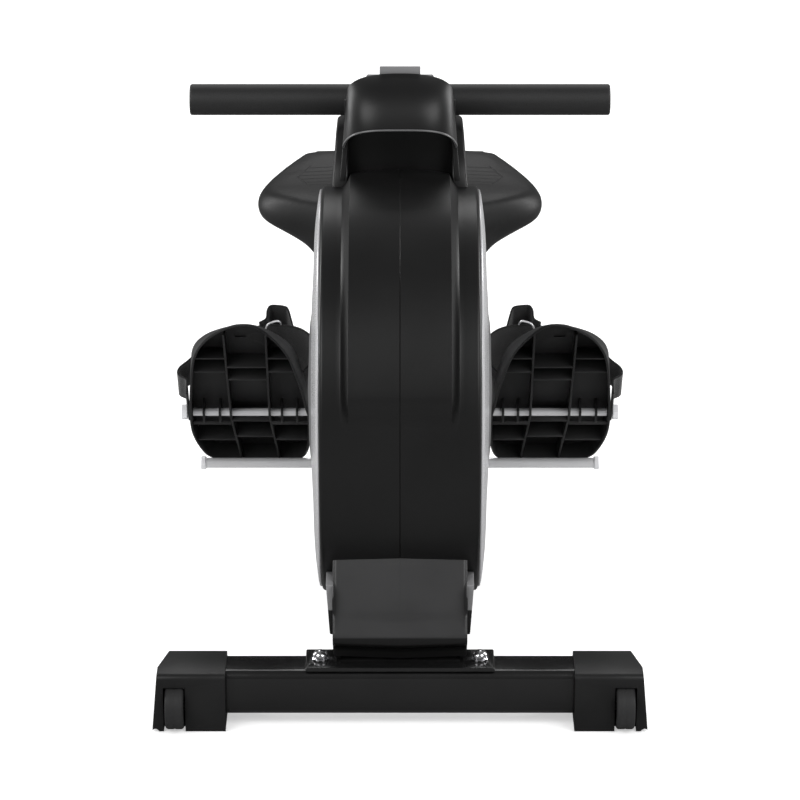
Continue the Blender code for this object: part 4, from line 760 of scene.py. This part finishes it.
hood = sheet("hood", 72, 48, hood_shape)
face_out(hood)
if hood.data.polygons[len(hood.data.polygons) // 4].normal.z < 0:
    flip(hood)
open_box(hood, at(-0.0300, 0.2620, 0.6060), at(0.0300, 0.3020, 0.6500))
hood.data.materials.append(head_black)
# The second material, for the wall's rim, is the light grey of the painted highlight.
hood.data.materials.append(lip_painted_highlight)
add_wall(hood, HEAD_WALL, rim=1)
add_bevel(hood, 0.0009, 3, 50)
bead = sheet("bead", 72, 8, bead_shape)
face_out(bead)
# The bead is coloured light grey as a painted highlight along the lip.
bead.data.materials.append(lip_painted_highlight)
wall_line = [(0.2500, 0.5590), (0.2490, 0.5490), (0.2415, 0.5300), (0.2395, 0.4860), (0.3085, 0.4860)]
wall_line += [(0.3085, 0.5600), (0.2560, 0.6080), (0.2520, 0.5900)]
wall = plate(
    "wall", wall_line,
    lambda p: at(HEAD_HALF * spread(p[1]) - 0.0060, p[0], p[1]),
    lambda p: at(HEAD_HALF * spread(p[1]) - 0.0003, p[0], p[1]),
)
add_bevel(wall, 0.0011, 3)
ARM_TOP = 0.5704
ARM_DROP = 0.008
arm_line = [(0.2885, ARM_TOP), (0.3500, ARM_TOP), (0.3515, 0.5450), (0.3450, 0.4560)]
arm_line += [(0.2360, 0.4900), (0.2375, 0.5170), (0.2585, 0.5480)]


def arm_outside(p):
    """The arm's outer face leans out downwards, and its top edge drops towards the outside."""
    drop = ARM_DROP if p[1] == ARM_TOP else 0.0
    return at(0.0687 + (ARM_TOP - p[1]) * 0.075, p[0], p[1] - drop)


arm = plate("arm", arm_line, side_view(0.0560), arm_outside)
add_bevel(arm, 0.0022, 4)
neck = box("neck", at(-0.0600, 0.2700, 0.4860), at(0.0600, 0.2730, 0.6050), 0.0005)
for piece in (wall, arm, neck):
    piece.data.materials.append(head_black)
parts = [hood, bead, wall, mirror_copy(wall, "left_wall"), arm, mirror_copy(arm, "left_arm"), neck]
head = smooth(join("head_shell", parts), 32)
stand_in(head, "head_cover")
tab = box("light_tab", at(-0.0219, 0.2555, 0.6250), at(0.0219, 0.2577, 0.6466), 0.0009, 3)
stand_in(smooth(tab), "console_tab")
print("head shell", [round(v, 4) for v in head.dimensions])

# %% [markdown]
# ## Grey of the leg cover
# The cover's face and its ears are two greys. Low down, where they face the floor, both are painted nearly
# black, which is painted shade. The colour changes at a height, so one surface shows both.

# %% Grey of the leg cover
leg_grey_with_painted_shade, shader, place, axes = start_material("leg_grey_with_painted_shade", 0.4)
slow = place.noise(9.0, 3.0)
fine = place.noise(1300.0, 2.0, 0.6)
face_tone = slow.step(0.25, 0.75).mix(grey(0.027), grey(0.034))
# Below this height the face is painted nearly black: painted shade where it faces the floor.
feed(shader, "Base Color", axes[2].step(0.1000, 0.1030).mix(grey(0.004), face_tone))
feed(shader, "Roughness", slow * 0.10 + fine * 0.08 + 0.25)
relief(shader, fine, 0.00002)
shader.inputs["Specular IOR Level"].default_value = 0.4
dress(leg_grey_with_painted_shade, "leg_cover")
ear_grey_with_painted_shade, shader, place, axes = start_material("ear_grey_with_painted_shade", 0.45)
slow = place.noise(9.0, 3.0)
ear_tone = slow.step(0.25, 0.75).mix(grey(0.18), grey(0.22))
# Below this height the ears are painted nearly black: painted shade where they face the floor.
feed(shader, "Base Color", axes[2].step(0.1245, 0.1253).mix(grey(0.006), ear_tone))
feed(shader, "Roughness", slow * 0.10 + 0.40)

# %% [markdown]
# ## Leg cover
# The grey cover over the front leg has a shallow ridge down its face, rounded sides and a rolled lower edge.
# Its face is a curved sheet that follows a line down the leg, and cheeks and ears are plates on both sides.

# %% Leg cover
LEG_HALF = 0.0712
LEG_CORNER = 0.0040
LEG_ENDS = 0.09
leg_run = through([(0.0240, 0.1800), (0.0215, 0.1795), (-0.0193, 0.1035)], 8)
leg_foot = [(-0.0196, 0.1015), (-0.0188, 0.0958), (-0.0150, 0.0905), (-0.0090, 0.0870), (-0.0050, 0.0820)]
leg_run += through(leg_foot + [(-0.0040, 0.0735)], 6)
leg_lengths = [0.0]
for first, second in zip(leg_run, leg_run[1:]):
    leg_lengths.append(leg_lengths[-1] + (second - first).length)


def leg_spot(v):
    """The place at a share of the way down the cover's line."""
    target = v * leg_lengths[-1]
    for k in range(len(leg_run) - 1):
        if leg_lengths[k + 1] >= target or k == len(leg_run) - 2:
            share = (target - leg_lengths[k]) / max(1e-9, leg_lengths[k + 1] - leg_lengths[k])
            return leg_run[k].lerp(leg_run[k + 1], share)


def leg_shape(u, v):
    """Across from side to side, with corners rounded back at both ends, and down the face."""
    spot = leg_spot(v)
    x = (u - 0.5) * 2
    edge = max(0.0, (abs(x) - (1 - LEG_ENDS)) / LEG_ENDS)
    turn = edge * math.pi / 2
    flat = (LEG_HALF - LEG_CORNER) * min(abs(x), 1 - LEG_ENDS) / (1 - LEG_ENDS)
    across = math.copysign(flat + LEG_CORNER * math.sin(turn), x)
    ridge = 0.0034 * max(0.0, 1 - abs(across) / 0.066) * min(1.0, 0.3 + v * 4)
    back = LEG_CORNER * (1 - math.cos(turn)) + 0.030 * max(0.0, edge - 0.999) / 0.001
    down = unit((v - 0.45) / 0.15)
    out = Vector((-0.876, 0.483)).lerp(Vector((-0.10, -1.0)), down * down).normalized()
    spot = spot + out * (ridge * (1 - 0.3 * down) - back)
    return at(across, spot.x, spot.y)


face = sheet("leg_face", 96, 64, leg_shape)
face.data.materials.append(leg_grey_with_painted_shade)
cheek_line = [(0.0200, 0.1762), (-0.0188, 0.1030), (-0.0184, 0.0965), (-0.0143, 0.0906), (-0.0062, 0.0876)]
cheek_line += [(0.0350, 0.0872), (0.0700, 0.1050), (0.0900, 0.1400), (0.0500, 0.1762)]
cheek = plate("cheek", cheek_line, side_view(LEG_HALF - 0.0028), side_view(LEG_HALF - 0.0001))
add_bevel(cheek, 0.0006, 2)
cheek.data.materials.append(leg_grey_with_painted_shade)
ear_line = [(0.0, 0.1540), (0.0, 0.1010), (0.0020, 0.0960), (0.0070, 0.0940), (0.0330, 0.0940)]
ear_line += [(0.0380, 0.0960), (0.0400, 0.1010), (0.0400, 0.1540)]
ear = plate(
    "ear", ear_line,
    side_view(LEG_HALF - 0.0008),
    lambda p: at(0.0782 - max(0.0, 0.145 - p[1]) * 0.08, p[0], p[1]),
)
add_bevel(ear, 0.0012, 3)
ear.data.materials.append(ear_grey_with_painted_shade)
parts = [face, cheek, mirror_copy(cheek, "left_cheek"), ear, mirror_copy(ear, "left_ear")]
cover = smooth(join("leg_shell", parts), 40)
stand_in(cover, "leg_cover")
print("leg shell", [round(v, 4) for v in cover.dimensions])

# %% [markdown]
# ## Vinyl
# The seat's cover is black vinyl with a fine leather grain. The lines that are pressed into its top, and the
# chevron round them, are drawn in the vinyl's relief, and painted a little darker as painted shade in the
# grooves.

# %% Vinyl
LINE_PITCH = 0.0103
LINE_REACH = 0.0285
SEAT_MIDDLE = 0.9255
vinyl, shader, place, axes = start_material("vinyl", 0.42)
leather = place.voronoi(420.0)
slow = place.noise(12.0, 3.0)
seat_back = axes[1] - (SEAT_MIDDLE - MID_Y)
end = axes[0].abs() + seat_back.abs() * 0.55
inside = 1.0 - seat_back.abs().step(LINE_REACH, LINE_REACH + 0.0005)
lines = (seat_back * (2 * math.pi / LINE_PITCH)).sine().step(0.80, 0.98) * (1.0 - end.step(0.1290, 0.1296))
chevron = end.step(0.1292, 0.1300) * (1.0 - end.step(0.1312, 0.1320))
pressed_with_painted_shade = lines * inside + chevron * inside
# The pressed lines and chevron take a darker grey: painted shade in the grooves, besides their real relief.
feed(shader, "Base Color", pressed_with_painted_shade.mix(slow.step(0.3, 0.7).mix(grey(0.007), grey(0.010)), grey(0.004)))
feed(shader, "Roughness", leather * 0.08 + slow * 0.06 + 0.40)
relief(shader, leather * 0.06 - pressed_with_painted_shade, 0.0006)
shader.inputs["Specular IOR Level"].default_value = 0.35
dress(vinyl, "seat_cushion")

# %% [markdown]
# ## Seat cushion
# The cushion is firm foam under the vinyl: a flat top with a rounded shoulder, tips that thin out at both
# sides, and an underside that slopes to the pan. It starts as a skin drawn by a formula, which is remeshed
# and blown up a little as cloth, so that it rounds like a filled skin. Each point may move 1.5 mm at most,
# because more of it wrinkles the tips.


# %% Seat cushion
CLOTH_FRAMES = 20
CLOTH_LIMIT = 0.0015
SEAT_FRONT = 0.8120
SEAT_LENGTH = 0.1880
SEAT_HALF = 0.1830
SEAT_TIP = 0.495
SEAT_BASE = 0.2335


def soften(obj, voxel, pressure, limit):
    """Blows a closed skin up a little as cloth, and keeps each point within a distance of its start."""
    remesh = obj.modifiers.new("remesh", "REMESH")
    remesh.mode = "VOXEL"
    remesh.voxel_size = voxel
    apply(obj, remesh)
    start = [vertex.co.copy() for vertex in obj.data.vertices]
    cloth = obj.modifiers.new("cloth", "CLOTH")
    cloth.settings.use_pressure = True
    cloth.settings.uniform_pressure_force = pressure
    cloth.settings.effector_weights.gravity = 0
    for frame_number in range(1, CLOTH_FRAMES + 1):
        bpy.context.scene.frame_set(frame_number)
    apply(obj, cloth)
    bpy.context.scene.frame_set(1)
    for vertex, first in zip(obj.data.vertices, start):
        move = vertex.co - first
        if move.length > limit:
            vertex.co = first + move.normalized() * limit
    smooth_out = obj.modifiers.new("smooth", "SMOOTH")
    smooth_out.iterations = 6
    smooth_out.factor = 0.5
    apply(obj, smooth_out)
    finer_grid = obj.modifiers.new("subdivide", "SUBSURF")
    finer_grid.levels = 1
    apply(obj, finer_grid)
    bpy.ops.object.shade_smooth()


def seat_half(v):
    """Half width of the seat at a place along it, from the front at 0 to the back at 1."""
    if v <= SEAT_TIP:
        return 0.051 + 0.1320 * math.sin(math.pi / 2 * v / SEAT_TIP) ** 0.75
    return SEAT_HALF - 0.0570 * ((v - SEAT_TIP) / (1 - SEAT_TIP)) ** 1.55


def seat_shape(u, v):
    """Round the section with u, along the seat with v; the first and last rows close the ends."""
    end = v < 0.001 or v > 0.999
    v = unit((v * 60 - 1) / 58)
    y = SEAT_FRONT + SEAT_LENGTH * v
    if end:
        return at(0.0, y, 0.2700)
    half = seat_half(v)
    shoulder = 0.024 - 0.012 * max(0.0, v - 0.5) / 0.5
    rim = 0.3045 + 0.0195 * (max(0.0, v - 0.45) / 0.55) ** 1.5
    bulge = 0.2740 + 0.0380 * v**2.5
    base = min(0.110, half * 0.94)
    if u <= 0.5:
        t = -1 + 4 * u
        flat = min(abs(t), 0.8) / 0.8
        turn = max(0.0, abs(t) - 0.8) / 0.2 * math.pi / 2
        x = (half - shoulder) * flat + shoulder * math.sin(turn)
        z = bulge + (rim - bulge) * math.cos(turn) + 0.005 * (1 - flat * flat)
        return at(math.copysign(x, t), y, z)
    t = (u - 0.5) * 2
    under = [(half, bulge), (half - 0.004, bulge - 0.012), ((half * 2 + base) / 3, (bulge * 2 + 0.2145) / 3)]
    under += [(base, 0.2350), (base - 0.006, SEAT_BASE), (0.0, SEAT_BASE)]
    mirrored = [(-x, z) for x, z in under[-2::-1]]
    path = under + mirrored
    step = t * (len(path) - 1)
    index = min(int(step), len(path) - 2)
    x, z = Vector(path[index]).lerp(Vector(path[index + 1]), step - index)
    return at(x, y, z)


cushion = sheet("seat_pad", 120, 60, seat_shape)
face_out(cushion, 0.0002)
soften(cushion, 0.004, 4.0, CLOTH_LIMIT)
stand_in(cushion, "seat_cushion")
print("cushion", [round(v, 4) for v in cushion.dimensions])

# %% [markdown]
# ## Footplates
# Each footplate is an open moulding that leans back from the rower: a sole, a skirt round its edge, and on
# the underside ribs that run along and across, with bosses and clips round the axle. The sole is a plate,
# the skirt a strip with a wall, and each rib is modelled as a thin plate with rounded edges.

# %% Footplates
PEDAL_X = 0.173
PEDAL_AT = PEDAL_AXIS + Vector((PEDAL_X, 0, 0))
LEAN = math.radians(54)
ALONG = Vector((0, -math.cos(LEAN), math.sin(LEAN)))
FACE = Vector((0, math.sin(LEAN), math.cos(LEAN)))
SOLE_IN = 0.0120
SOLE_OUT = 0.0155
SKIRT_BACK = -0.0108
SKIRT_WALL = 0.0028
RIB_WALL = 0.0026
RIB_BACK = -0.0080
RIB_TOP = SOLE_IN + 0.001
SOLE_CORNERS = [
    (0.0255, 0.1740), (0.0463, 0.1540), (0.0604, 0.1210), (0.0662, 0.0650), (0.0693, 0.0000),
    (0.0665, -0.0380), (0.0563, -0.0710), (0.0454, -0.0840), (0.0300, -0.0895), (0.0050, -0.0900),
    (-0.0400, -0.0900), (-0.0520, -0.0882), (-0.0600, -0.0815), (-0.0652, -0.0700), (-0.0684, -0.0480),
    (-0.0692, 0.0020), (-0.0665, 0.0235), (-0.0610, 0.0680), (-0.0468, 0.1310), (-0.0182, 0.1755),
    (0.0040, 0.1830),
]


def on_sole(x, s, n):
    """A place on the plate; towards the toe the skirt leans back, so its rim looks thin from the front."""
    if s > 0.10:
        deep = (n - SKIRT_BACK) / (SOLE_OUT - SKIRT_BACK)
        s += (s - 0.10) / 0.083 * (0.0140 - 0.0400 * min(1.1, deep))
    return PEDAL_AT + Vector((x, 0, 0)) + ALONG * s + FACE * n


def sole_plate(name, outline, low, high, round_by=0.0, segments=2):
    made = plate(name, outline, lambda p: on_sole(p[0], p[1], low), lambda p: on_sole(p[0], p[1], high))
    if round_by:
        add_bevel(made, round_by, segments)
    return made


def square(x, s):
    return [(x[0], s[0]), (x[1], s[0]), (x[1], s[1]), (x[0], s[1])]


sole_round = [tuple(p) for p in through(SOLE_CORNERS, 5, closed=True)]
rim = sole_plate("sole", sole_round, SOLE_OUT, SOLE_IN)
slot = sole_plate("slot", square((0.0005, 0.0125), (0.150, 0.156)), 0.0, 0.0135)
cut_with(rim, slot)
add_bevel(rim, 0.0012, 3)
sole_count = len(sole_round)


def skirt_shape(u, v):
    x, s = sole_round[int(round(u * sole_count)) % sole_count]
    return on_sole(x, s, SKIRT_BACK + (SOLE_OUT - 0.0015 - SKIRT_BACK) * v)


skirt = sheet("skirt", sole_count, 4, skirt_shape)
face_out(skirt)
add_wall(skirt, SKIRT_WALL)
add_bevel(skirt, 0.0008, 2, 50)
parts = [rim, skirt]
rib_half = RIB_WALL / 2
for low, middle, high in ((0.0125, 0.0218, 0.0241), (-0.0318, -0.0228, -0.0231)):
    rib = [(low - rib_half, -0.0885), (low + rib_half, -0.0885), (middle + rib_half, 0.0)]
    rib += [(high + rib_half, 0.1640), (high - rib_half, 0.1640), (middle - rib_half, 0.0)]
    parts.append(sole_plate("rib", rib, RIB_BACK, RIB_TOP, 0.0007))
for bay in ((0.0222, 0.0685), (-0.0685, -0.0232)):
    parts.append(sole_plate("shelf", square(bay, (-0.0150, -0.0090)), RIB_BACK, -0.0060, 0.0005))
CROSS_RIBS = (
    (0.119, 0.0236, 0.0590), (0.094, 0.0232, 0.0628), (-0.049, 0.0166, 0.0620), (0.119, -0.0480, -0.0230),
    (0.094, -0.0540, -0.0230), (-0.049, -0.0670, -0.0278), (0.103, -0.0230, 0.0234), (0.078, -0.0230, 0.0230),
    (-0.042, -0.0270, 0.0174), (-0.0085, -0.0236, 0.0209),
)
for s, left, right in CROSS_RIBS:
    parts.append(sole_plate("rib", square((left, right), (s, s + RIB_WALL)), RIB_BACK, RIB_TOP, 0.0007))
BOSS_R = 0.0098
BOSS_EDGE = 0.0006
for low, high in ((0.1030, 0.1060), (0.2385, 0.2440)):
    boss = [(low, 0.0050), (low, BOSS_R - BOSS_EDGE), (low + BOSS_EDGE, BOSS_R)]
    boss += [(high - BOSS_EDGE, BOSS_R), (high, BOSS_R - BOSS_EDGE), (high, 0.0050)]
    parts.append(turned("boss", boss, PEDAL_AXIS, "X", 48))
for x in (0.1187, 0.1360, 0.2075, 0.2260):
    clip = square((x - PEDAL_X - rib_half, x - PEDAL_X + rib_half), (-0.0105, 0.0105))
    parts.append(sole_plate("clip", clip, -0.0085, RIB_TOP, 0.0006))
for s in (-0.052, 0.012, 0.079, 0.112):
    wide = 0.050 if s > 0.1 else 0.058
    bar = square((-wide, wide), (s, s + 0.003))
    parts.append(sole_plate("grip_bar", bar, SOLE_OUT - 0.001, SOLE_OUT + 0.0012, 0.0006))
heel_wall = [(-0.0560, -0.0890), (0.0300, -0.0890), (0.0440, -0.0825), (0.0440, -0.0790), (-0.0560, -0.0790)]
parts.append(sole_plate("heel", heel_wall, SOLE_OUT - 0.001, SOLE_OUT + 0.020, 0.0020, 3))
stand_in_pair(smooth(join("footplate", parts), 36), "footplate", "pedal")

# %% [markdown]
# ## Foot straps
# A flat band of webbing runs over each foot from one edge of the sole to the other. Its tail turns back
# through a wire ring. The band is a strip along its route with the webbing's thickness.

# %% Foot straps
SOLE_HALF = 0.0693
STRAP_GAP = 0.0003
STRAP_WALL = 0.0019
reach = SOLE_HALF + STRAP_GAP + 0.0012
STRAP_ROUTE = [(reach, -0.009), (reach, 0.008), (reach + 0.0022, 0.0125), (reach + 0.0090, 0.0165)]
STRAP_ROUTE += [(reach + 0.0108, 0.0210), (reach + 0.0080, 0.0275), (0.0700, 0.0345), (0.0610, 0.0425)]
STRAP_ROUTE += [(0.0450, 0.0535), (0.0240, 0.0605), (0.0, 0.0625)]
STRAP_ROUTE += [(-0.0240, 0.0620), (-0.0460, 0.0585), (-0.0640, 0.0520), (-0.0755, 0.0420), (-0.0750, 0.0320)]
STRAP_ROUTE += [(-0.0690, 0.0230), (-0.0605, 0.0166)]
TAIL_ROUTE = [(-0.0120, 0.0622), (-0.0200, 0.0660), (-0.0215, 0.0736), (-0.0245, 0.0782), (-0.0300, 0.0790)]
TAIL_ROUTE += [(-0.0410, 0.0778), (-0.0450, 0.0750), (-0.0480, 0.0670), (-0.0510, 0.0580)]


def strap_strip(name, route, span, low_lean, high_lean, twist):
    """A band along a route: both edges lean to the toe as it rises, the upper more on the inner side."""
    run = through(route, 6)

    def shape(u, v):
        spot = run[int(round(u * (len(run) - 1)))]
        rise = max(0.0, spot.y - 0.010)
        low = span[0] + rise * low_lean
        high = span[1] + rise * (high_lean - twist * spot.x)
        bow = 0.0006 * math.sin(math.pi * v)
        return on_sole(spot.x, low + (high - low) * v, spot.y + bow)

    made = sheet(name, len(run) - 1, 20, shape)
    add_wall(made, STRAP_WALL, 0.0)
    add_bevel(made, 0.0005, 2, 60)
    return made


over = strap_strip("over", STRAP_ROUTE, (0.009, 0.052), -0.15, 0.55, 5.8)
tail = strap_strip("tail", TAIL_ROUTE, (0.030, 0.056), 0.10, 0.70, 0.0)
stand_in_pair(smooth(join("strap_band", [over, tail]), 45), "strap_band", "foot_strap")

# %% [markdown]
# ## Strap rings
# Each strap's tail runs through a ring of bent wire, a rectangle with round corners. It is a sheet rolled
# round a closed curve, whose powers below one square the circle off.

# %% Strap rings
WIRE_R = 0.0013
RING_LONG = 0.0300
RING_SHORT = 0.0095


def ring_shape(u, v):
    angle = 2 * math.pi * u
    turn = 2 * math.pi * v
    long = math.copysign(RING_LONG * abs(math.cos(angle)) ** 0.6, math.cos(angle))
    short = math.copysign(RING_SHORT * abs(math.sin(angle)) ** 0.6, math.sin(angle))
    slip = Vector((short * 0.6 + 1e-6, long * 0.3, 0)).normalized() * (WIRE_R * math.cos(turn))
    up = 0.0575 - 0.38 * short + WIRE_R * math.sin(turn)
    return on_sole(-0.0285 + short + slip.x, 0.0700 + long + slip.y, up)


ring = smooth(sheet("wire_strap_ring", 64, 12, ring_shape), 80)
face_out(ring)
stand_in_pair(ring, "wire_strap_ring", "strap_ring")

# %% [markdown]
# ## Front foot
# A square tube with rounded edges, the rubber transport wheels at the outer front corners, and the chrome
# dome nuts that hold the base plate. The moulded end caps are among the finer copies.

# %% Front foot
tube = smooth(box("foot_tube", at(-0.222, -0.025, 0.0135), at(0.222, 0.025, 0.0635), 0.009, 8), 40)
stand_in(tube, "front_stabiliser")
WHEEL_AT = (0.2382, -0.027, 0.0265)
WHEEL_HALF = 0.0098
WHEEL_R = 0.0250
tread = [(WHEEL_HALF - 0.002, 0.0065), (WHEEL_HALF - 0.002, 0.0170), (WHEEL_HALF, 0.0180)]
tread += [(WHEEL_HALF, 0.0225), (WHEEL_HALF - 0.0008, WHEEL_R - 0.0010), (WHEEL_HALF - 0.0025, WHEEL_R)]
tread += [(0.0012, WHEEL_R), (0.0006, WHEEL_R - 0.0004)]
tread = [(-x, r) for x, r in tread] + tread[::-1]
wheel = turned("tyre", tread, at(*WHEEL_AT), "X", 72)
stand_in_pair(smooth(wheel, 40), "tyre", "transport_wheel")
BOLT_AT = at(0.0846, 0, 0)
PLATE_TOP = 0.0691
NUT_R = 0.0082
CROWN_R = 0.0081
washer_line = [(0, 0.0040), (0, 0.0089), (0.0003, 0.0092)]
washer_line += [(0.0011, 0.0092), (0.0014, 0.0089), (0.0014, 0.0030)]
washer = turned("washer", [(PLATE_TOP + z, r) for z, r in washer_line], BOLT_AT, "Z", 48)
crown_line = [(PLATE_TOP + 0.0030, CROWN_R)]
for k in range(11):
    turn = math.pi * k / 20
    crown_line.append((PLATE_TOP + 0.0034 + 0.0062 * math.sin(turn), CROWN_R * math.cos(turn)))
crown = turned("crown", crown_line, BOLT_AT, "Z", 48)
hexagon = [(NUT_R * math.cos(math.pi * k / 3), NUT_R * math.sin(math.pi * k / 3)) for k in range(6)]
nut = plate(
    "nut", hexagon,
    lambda p: BOLT_AT + Vector((p[0], p[1], PLATE_TOP + 0.0014)),
    lambda p: BOLT_AT + Vector((p[0], p[1], PLATE_TOP + 0.0044)),
)
add_bevel(nut, 0.0007, 3)
under_line = [(0.0132, 0.0080), (0.0105, 0.0072), (0.0096, 0.0050), (0.0095, 0.0)]
under = turned("under", under_line, BOLT_AT, "Z", 48)
shank = turned("shank", [(0.0132, 0.0036), (PLATE_TOP + 0.001, 0.0036)], BOLT_AT, "Z", 24)
bolt = join("dome_nut", [washer, crown, nut, under, shank])
stand_in_pair(smooth(bolt, 35), "dome_nut", "base_bolt")

# %% [markdown]
# ## Grips and discs
# The grips are foam sleeves with soft ends. The silver discs on the casing's sides are dished, and each has
# a grey dome at its middle.

# %% Grips and discs
BAR_AT = at(0, 0.330, 0.588)
GRIP_R = 0.0170
GRIP_EDGE = 0.0028
sleeve_line = [(0.0300, 0.0112), (0.0300, 0.0160), (0.0303, 0.0166), (0.0310, GRIP_R)]
sleeve_line += [(0.0310 + 0.1960 * k / 24, GRIP_R) for k in range(1, 25)]
for k in range(1, 9):
    turn = math.pi * k / 16
    edge_r = GRIP_R - GRIP_EDGE + GRIP_EDGE * math.cos(turn)
    sleeve_line.append((0.2270 + GRIP_EDGE * math.sin(turn), edge_r))
sleeve_line.append((0.2298, 0.0112))
stand_in_pair(smooth(turned("sleeve", sleeve_line, BAR_AT), 40), "sleeve", "grip")
DISC_X = 0.0843
dish_line = [(0, 0.2157), (0.0006, 0.2160), (0.0014, 0.2160), (0.0022, 0.2154)]
dish_line += through([(0.0034, 0.2110), (0.0068, 0.1830), (0.0075, 0.1600), (0.0103, 0.1100)], 6)
dish_line.append((0.0085, 0.1080))
dish = turned("dish", [(DISC_X + x, r) for x, r in dish_line], DRUM, "X", 192)
stand_in_pair(smooth(dish, 30), "dish", "side_disc")
dome_line = [(0.0030, 0.1077), (0.0090, 0.1077), (0.0101, 0.1071)]
dome_curve = [(0.0105, 0.1060), (0.0107, 0.0900), (0.0133, 0.0710), (0.0139, 0.0530), (0.0162, 0.0)]
dome_line += through(dome_curve, 8)
dome = turned("dome", [(DISC_X + x, r) for x, r in dome_line], DRUM, "X", 128)
stand_in_pair(smooth(dome, 30), "dome", "hub_dome")

# %% [markdown]
# ## Floor
# A pale floor that runs into the white background. Its surface glows a little for the camera alone and looks
# darker in reflections, so that the black pieces don't mirror a white room.

# %% Floor
bpy.ops.mesh.primitive_plane_add(size=30, location=(0, 0, 0))
floor = bpy.context.active_object
floor.name = "floor"
floor_look, shader, place, _ = start_material("floor_white", 0.9)
shader.inputs["Base Color"].default_value = (0.9, 0.9, 0.9, 1.0)
shader.inputs["Specular IOR Level"].default_value = 0.0
tree = floor_look.node_tree
surface = Field(tree, shader.outputs[0])
rays = tree.nodes.new("ShaderNodeLightPath")
seen = Field(tree, rays.outputs["Is Camera Ray"])
mirrored_ray = Field(tree, rays.outputs["Is Glossy Ray"])
glow = place.node("ShaderNodeEmission", {"Color": (1, 1, 1, 1), "Strength": 0.45})
added = place.node("ShaderNodeAddShader", {0: surface, 1: glow})
dim = place.node("ShaderNodeBsdfDiffuse", {"Color": (0.25, 0.25, 0.25, 1.0)})
plain = place.node("ShaderNodeMixShader", {0: mirrored_ray, 1: surface, 2: dim})
blend = place.node("ShaderNodeMixShader", {0: seen, 1: plain, 2: added})
tree.links.new(blend.socket, tree.nodes["Material Output"].inputs["Surface"])
floor.data.materials.append(floor_look)

# %% [markdown]
# ## World and lamps
# Two lamps stand in front, one on each side and one behind. The room is white to the camera and dimmer as a
# light and in reflections, as in a studio with dark walls.

# %% World and lamps
world = bpy.data.worlds.new("studio")
bpy.context.scene.world = world
world.use_nodes = True
tree = world.node_tree
background = tree.nodes["Background"]
rays = tree.nodes.new("ShaderNodeLightPath")
seen = Field(tree, rays.outputs["Is Camera Ray"])
white = seen.math("MAXIMUM", Field(tree, rays.outputs["Is Transmission Ray"]))
strength = white * 0.54 + 0.46 - Field(tree, rays.outputs["Is Glossy Ray"]) * 0.28
tree.links.new(strength.socket, background.inputs["Strength"])
background.inputs["Color"].default_value = (1.0, 1.0, 1.0, 1.0)


def lamp(name, place, target, size, power):
    data = bpy.data.lights.new(name, "AREA")
    data.shape = "RECTANGLE"
    data.size = size[0]
    data.size_y = size[1]
    data.energy = power
    made = bpy.data.objects.new(name, data)
    bpy.context.scene.collection.objects.link(made)
    made.location = place
    made.rotation_euler = (Vector(target) - Vector(place)).to_track_quat("-Z", "Y").to_euler()
    return made


for side, name in ((-1, "left"), (1, "right")):
    lamp(name + "_front_lamp", at(side * 1.8, -1.8, 2.2), at(0, 0.1, 0.4), (1.8, 1.8), 42)
    lamp(name + "_side_lamp", at(side * 2.4, 1.3, 1.1), at(0, 0.2, 0.35), (0.5, 2.0), 40)
lamp("back_lamp", at(0, 3.0, 2.8), at(0, 0.6, 0.3), (2.4, 0.8), 26)

# %% [markdown]
# ## View
# The view transform is Standard, so the colours come out as they were mixed.

# %% View
bpy.context.scene.view_settings.view_transform = "Standard"
